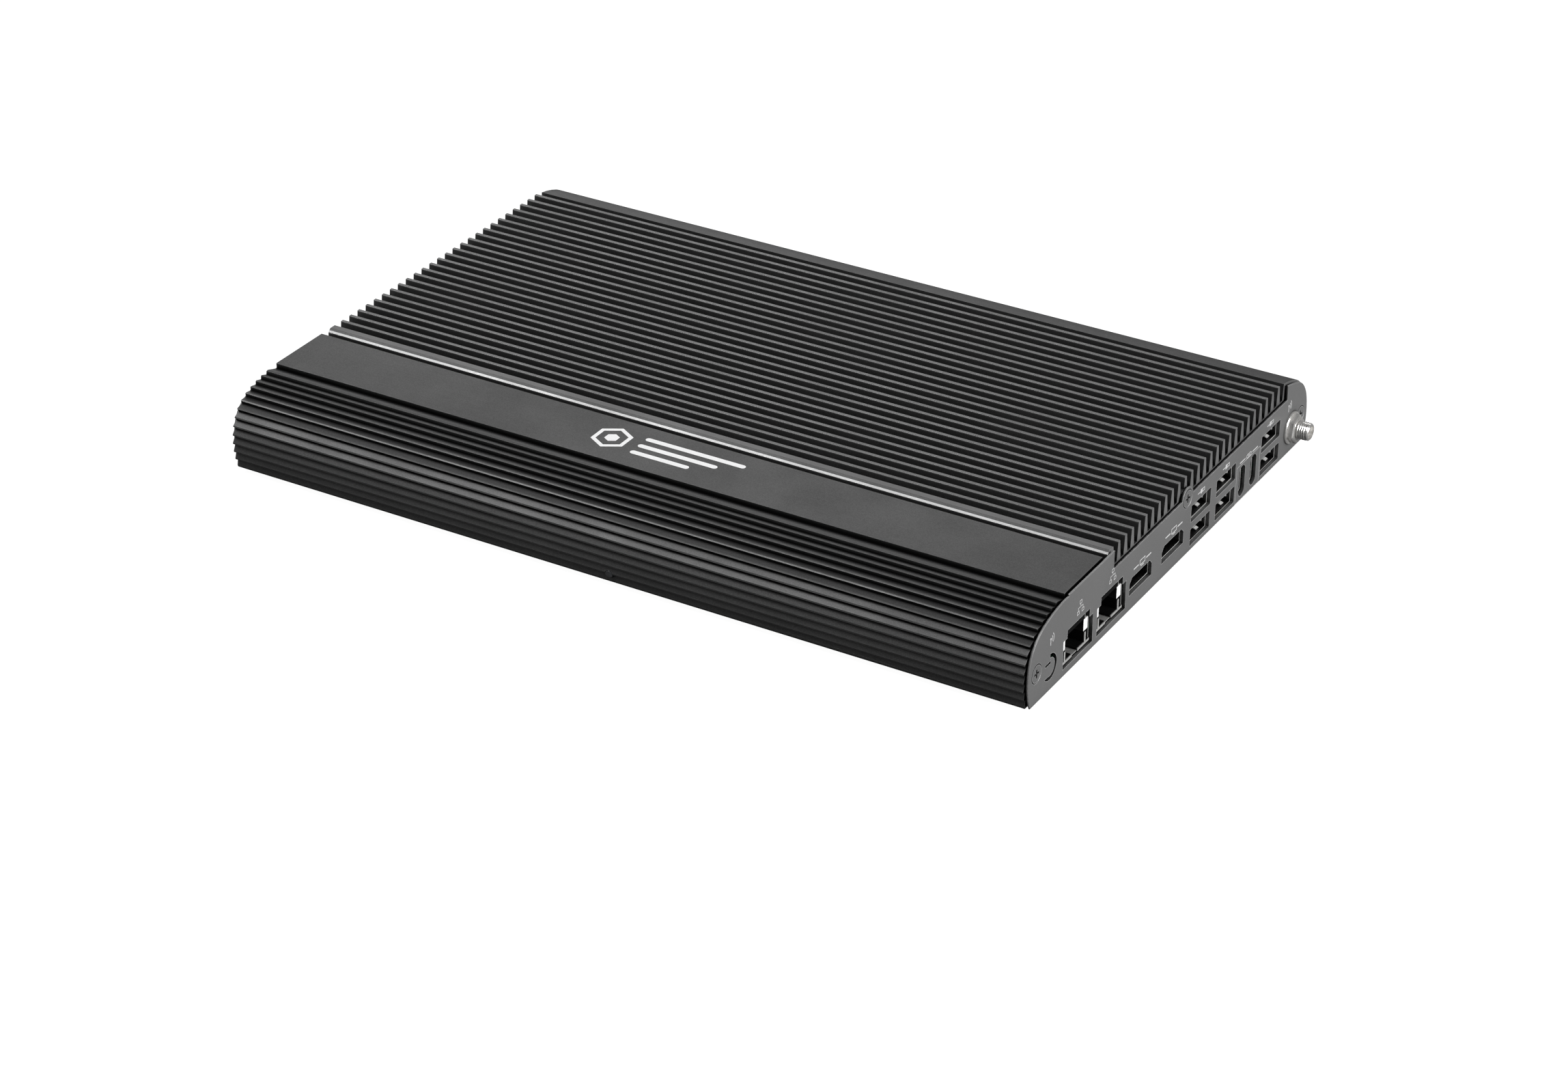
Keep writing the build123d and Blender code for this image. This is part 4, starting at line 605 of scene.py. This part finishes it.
def pill_points(x, y, length, height):
    """Outline of a bar with round ends."""
    straight = (length - height) / 2
    right = ring_points(x + straight, y, height / 2, 9, -90.0, 180.0)
    left = ring_points(x - straight, y, height / 2, 9, 90.0, 180.0)
    return right + left


def finished_piece(name, sheet, finish):
    """Turns a bmesh in metres into a piece of the case with its finish."""
    bmesh.ops.recalc_face_normals(sheet, faces=sheet.faces)
    mesh = bpy.data.meshes.new(name)
    sheet.to_mesh(mesh)
    sheet.free()
    mesh.materials.append(finish)
    piece = bpy.data.objects.new(name, mesh)
    bpy.context.collection.objects.link(piece)
    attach(piece, "case")


def print_sign(name, plane, draw, ink):
    """A sign laid on one of the object's flat faces."""
    sheet = bmesh.new()
    draw(sheet)
    bmesh.ops.transform(sheet, matrix=plane @ Matrix.Scale(MM, 4), verts=sheet.verts)
    finished_piece(name, sheet, ink)


def draw_band_sign(sheet):
    """Plain hexagon mark with three shortening bars."""
    mark_x, bars_x, middle, row_pitch = -23.6, -14.5, -57.0, 4.3
    stroke(sheet, ring_points(mark_x, middle, 5.6, 6, 30.0), 1.25, closed=True)
    plate(sheet, ring_points(mark_x, middle, 2.3, 6, 30.0))
    for row, length in ((1, 34.0), (0, 27.0), (-1, 20.0)):
        plate(sheet, pill_points(bars_x + length / 2, middle + row * row_pitch, length, 1.9))


def draw_network_sign(sheet, y):
    """Three linked stations."""
    top, low, bar, aside = 21.3, 18.3, 19.8, 1.4
    for x, z in ((0.0, top), (-aside, low), (aside, low)):
        stroke(sheet, box_points(y + x, z, 1.2, 0.95), HAIR_LINE, closed=True)
    stroke(sheet, [(y, top - 0.6), (y, bar)], HAIR_LINE)
    fork = [(y - aside, low + 0.6), (y - aside, bar), (y + aside, bar), (y + aside, low + 0.6)]
    stroke(sheet, fork, HAIR_LINE)


def draw_screen_sign(sheet, y):
    """Screen on its foot, between two rules."""
    z = 14.7
    stroke(sheet, box_points(y, z + 0.15, 3.2, 1.5), PLAIN_LINE, closed=True)
    stroke(sheet, [(y - 0.9, z - 1.1), (y + 0.9, z - 1.1)], PLAIN_LINE)
    for side in (-1, 1):
        stroke(sheet, [(y + side * 2.4, z), (y + side * 5.6, z)], 0.45)


def draw_plug_sign(sheet, y, z):
    """Flat plug on its lead."""
    stroke(sheet, box_points(y + 1.5, z, 1.5, 0.9), 0.28, closed=True)
    plate(sheet, box_points(y + 0.1, z, 1.0, 1.5))
    stroke(sheet, [(y - 0.4, z), (y - 2.2, z)], 0.32)


def draw_round_plug_sign(sheet, y, z):
    """Round-ended plug mark with a rule on each side."""
    stroke(sheet, pill_points(y, z, 3.4, 1.1), 0.26, closed=True)
    plate(sheet, box_points(y, z, 1.7, 0.26))
    for side in (-1, 1):
        stroke(sheet, [(y + side * 2.5, z), (y + side * 6.3, z)], HEAVY_LINE)


def draw_antenna_sign(sheet, y, z):
    """Mast with two waves beside it."""
    tip = z + 0.5
    stroke(sheet, [(y, z - 1.5), (y, z + 0.3)], 0.32)
    plate(sheet, ring_points(y, tip, 0.42, 12))
    for radius in (1.1, 1.9):
        stroke(sheet, ring_points(y, tip, radius, 9, -48.0, 96.0), 0.28)


def draw_right_signs(sheet):
    """Signs over the ports, and a thin frame round the pair of upright ports."""
    for y in (-61.3, -41.5):
        draw_network_sign(sheet, y)
    for y in (-22.3, -1.8):
        draw_screen_sign(sheet, y)
    for y in (15.9, 32.9, 64.0):
        draw_plug_sign(sheet, y, 19.0)
    draw_round_plug_sign(sheet, 49.3, 15.3)
    stroke(sheet, box_points(49.3, 8.4, 16.4, 12.2), 0.12, closed=True)
    draw_antenna_sign(sheet, -79.1, 18.0)
    draw_antenna_sign(sheet, 77.6, 18.2)


def draw_power_sign(sheet, y, z):
    """Broken ring with a stroke through its gap."""
    stroke(sheet, ring_points(y, z, 1.25, 15, 125.0, 290.0), 0.32)
    stroke(sheet, [(y, z), (y, z + 1.7)], 0.32)


def draw_headset_sign(sheet, y, z):
    """Headband with two cups."""
    stroke(sheet, ring_points(y, z, 1.3, 11, 0.0, 180.0), PLAIN_LINE)
    for side in (-1, 1):
        plate(sheet, pill_points(y + side * 1.3, z - 0.3, 0.75, 0.7))


def draw_inlet_sign(sheet, y, z):
    """Core and open sleeve of the power inlet, with a ring and its dash on each side."""
    for side in (-1, 1):
        ring_y = y + side * 2.6
        stroke(sheet, ring_points(ring_y, z, 0.75, 14), FINE_LINE, closed=True)
        stroke(sheet, [(y + side * 1.0, z), (y + side * 1.85, z)], FINE_LINE)
        stroke(sheet, [(ring_y - 0.4, z), (ring_y + 0.4, z)], 0.22)
    stroke(sheet, ring_points(y, z, 0.95, 14, 35.0, 290.0), FINE_LINE)
    plate(sheet, ring_points(y, z, 0.4, 12))


def draw_left_signs(sheet):
    """Power, headset and inlet marks over the fittings of the left panel."""
    draw_power_sign(sheet, 72.0, 20.0)
    draw_headset_sign(sheet, 58.5, 19.4)
    draw_inlet_sign(sheet, 45.5, 19.6)


print_sign("band_sign", band_plane, draw_band_sign, band_ink)
print_sign("right_panel_signs", right_plane, draw_right_signs, port_ink)
print_sign("left_panel_signs", left_plane, draw_left_signs, port_ink)

# ---- small fittings ---------------------------------------------------------------------


def antenna_thread_ridge():
    """Thread of the antenna socket: one pointed ridge wound round the barrel."""
    low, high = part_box("antenna_insulator")
    axis_y, axis_z = (low[1] + high[1]) / 2, (low[2] + high[2]) / 2
    start, pitch, turns, steps = PANEL_FACE + 2.85 * MM, 0.7 * MM, 4.6, 40
    root, crest, half_foot, half_top = 2.6 * MM, 2.84 * MM, 0.24 * MM, 0.036 * MM
    sheet = bmesh.new()
    sections = []
    total = int(turns * steps)
    for step in range(total + 1):
        angle = 2 * math.pi * step / steps
        fade = min(1.0, 4.0 * step / steps, 4.0 * (total - step) / steps)
        height = root + (crest - root) * max(0.35, fade)
        turn = Vector((0.0, math.cos(angle), math.sin(angle)))
        axis = Vector((start + pitch * step / steps, axis_y, axis_z))
        profile = ((-half_foot, root), (-half_top, height), (half_top, height), (half_foot, root))
        sections.append([axis + turn * radius + Vector((along, 0.0, 0.0)) for along, radius in profile])
    sweep_loop(sheet, sections, closed=False)
    finished_piece("antenna_thread_ridge", sheet, nickel)


def bent_strip(sheet, path, across, width, thickness):
    """Sprung metal strip that follows a path, of one width across it."""
    points = [Vector(point) for point in path]
    side = Vector(across).normalized() * width / 2
    sections = []
    for place, point in enumerate(points):
        before, after = points[max(0, place - 1)], points[min(len(points) - 1, place + 1)]
        lift = (after - before).normalized().cross(side.normalized()) * thickness / 2
        sections.append([point - side - lift, point + side - lift, point + side + lift, point - side + lift])
    sweep_loop(sheet, sections, closed=False)


FLAT_PORT_SHELLS = ("usb_a_front_shell", "usb_a_middle_shell", "usb_a_rear_shell")
FLAT_PORT_HEIGHTS = (6.35 * MM, 14.2 * MM)


def flat_ports():
    """Middle, height and mouth of each flat port."""
    for name in FLAT_PORT_SHELLS:
        low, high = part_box(name)
        for z in FLAT_PORT_HEIGHTS:
            yield (low[1] + high[1]) / 2, z, high[0]


def shell_springs():
    """Sprung fingers inside each flat port: four on its top and floor, one on each side wall."""
    floor_bend = ((6.5, 0.0), (4.5, 0.25), (2.6, 0.62), (1.7, 0.62), (0.9, 0.3))
    side_bend = ((5.5, 0.0), (3.2, 0.3), (1.9, 0.7), (0.9, 0.45))
    half_height, half_width = 2.47 * MM, 6.1 * MM
    sheet = bmesh.new()
    for y, z, mouth in flat_ports():
        for side in (-1, 1):
            for up in (-1, 1):
                wall = z + up * half_height
                path = [(mouth - reach * MM, y + side * 3.0 * MM, wall - up * drop * MM)
                        for reach, drop in floor_bend]
                bent_strip(sheet, path, (0, 1, 0), 1.7 * MM, 0.2 * MM)
            wall = y + side * half_width
            path = [(mouth - reach * MM, wall - side * drop * MM, z + 0.5 * MM)
                    for reach, drop in side_bend]
            bent_strip(sheet, path, (0, 0, 1), 2.6 * MM, 0.2 * MM)
    finished_piece("usb_shell_springs", sheet, spring_steel)


def tongue_contacts():
    """Gold strips under the tongues of the flat ports."""
    bend = ((9.0, 0.12), (5.0, 0.2), (2.6, 0.42), (1.4, 0.2), (0.9, 0.1))
    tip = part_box("usb_a_tongues")[1][0]
    sheet = bmesh.new()
    for y, z, _ in flat_ports():
        for place in (-3.5, -1.0, 1.0, 3.5):
            path = [(tip - reach * MM, y + place * MM, z - drop * MM) for reach, drop in bend]
            bent_strip(sheet, path, (0, 1, 0), 1.0 * MM, 0.16 * MM)
    finished_piece("port_contacts", sheet, FINISHES["gold_contact"])


antenna_thread_ridge()
shell_springs()
tongue_contacts()

# ---- floor and light --------------------------------------------------------------------


def floor_white_sweep():
    """White floor that glows only to the eye, so that it hardly lights the object from below."""
    material, tree, shader = new_finish("floor_white_sweep", Roughness=0.9)
    soft = noise(tree, place_vector(tree), 3.0)
    tree.links.new(between(tree, soft, grey(0.1), grey(0.12)), shader.inputs["Base Color"])
    glow = tree.nodes.new("ShaderNodeEmission")
    glow.inputs["Strength"].default_value = 0.97
    both = tree.nodes.new("ShaderNodeAddShader")
    tree.links.new(shader.outputs["BSDF"], both.inputs[0])
    tree.links.new(glow.outputs["Emission"], both.inputs[1])
    seen = tree.nodes.new("ShaderNodeLightPath")
    choice = tree.nodes.new("ShaderNodeMixShader")
    tree.links.new(seen.outputs["Is Camera Ray"], choice.inputs["Fac"])
    tree.links.new(shader.outputs["BSDF"], choice.inputs[1])
    tree.links.new(both.outputs["Shader"], choice.inputs[2])
    surface = next(node for node in tree.nodes if node.type == "OUTPUT_MATERIAL")
    tree.links.new(choice.outputs["Shader"], surface.inputs["Surface"])
    return material


def pale_floor():
    """Wide flat floor under the object."""
    sheet = bmesh.new()
    bmesh.ops.create_grid(sheet, x_segments=8, y_segments=8, size=4.0)
    mesh = bpy.data.meshes.new("pale_floor")
    sheet.to_mesh(mesh)
    sheet.free()
    mesh.materials.append(floor_white_sweep())
    floor = bpy.data.objects.new("pale_floor", mesh)
    bpy.context.collection.objects.link(floor)


def soft_light(name, direction, distance, size, power):
    """Square softbox that points at the middle of the object."""
    data = bpy.data.lights.new(name, "AREA")
    data.size = size
    data.energy = power
    light = bpy.data.objects.new(name, data)
    bpy.context.collection.objects.link(light)
    towards = Vector(direction).normalized()
    light.location = towards * distance
    light.rotation_euler = towards.to_track_quat("Z", "Y").to_euler()


def white_surroundings():
    """World that is white to the eye and dim to the object."""
    world = bpy.data.worlds.new("studio_white")
    bpy.context.scene.world = world
    world.use_nodes = True
    tree = world.node_tree
    back = tree.nodes["Background"]
    seen = tree.nodes.new("ShaderNodeLightPath")
    strength = math_node(tree, "MULTIPLY_ADD", seen.outputs["Is Camera Ray"], 0.92, 0.1)
    tree.links.new(strength, back.inputs["Strength"])
    back.inputs["Color"].default_value = (1.0, 1.0, 1.0, 1.0)


def studio():
    """Floor, surroundings and four softboxes: direction, distance, size and watts."""
    pale_floor()
    soft_light("softbox_front_left", (-0.5, -0.28, 0.86), 1.5, 0.6, 15.0)
    soft_light("softbox_front_low", (-0.44, -0.95, 0.2), 1.7, 1.0, 2.5)
    soft_light("softbox_right", (0.99, 0.0, 0.3), 1.6, 0.7, 28.0)
    soft_light("softbox_back", (-0.5, 0.82, 0.5), 1.9, 1.1, 7.2)
    white_surroundings()


studio()

# ---- close ------------------------------------------------------------------------------


def plain(bounds):
    """Bounds as plain lists of numbers."""
    return [[float(value) for value in corner] for corner in bounds]
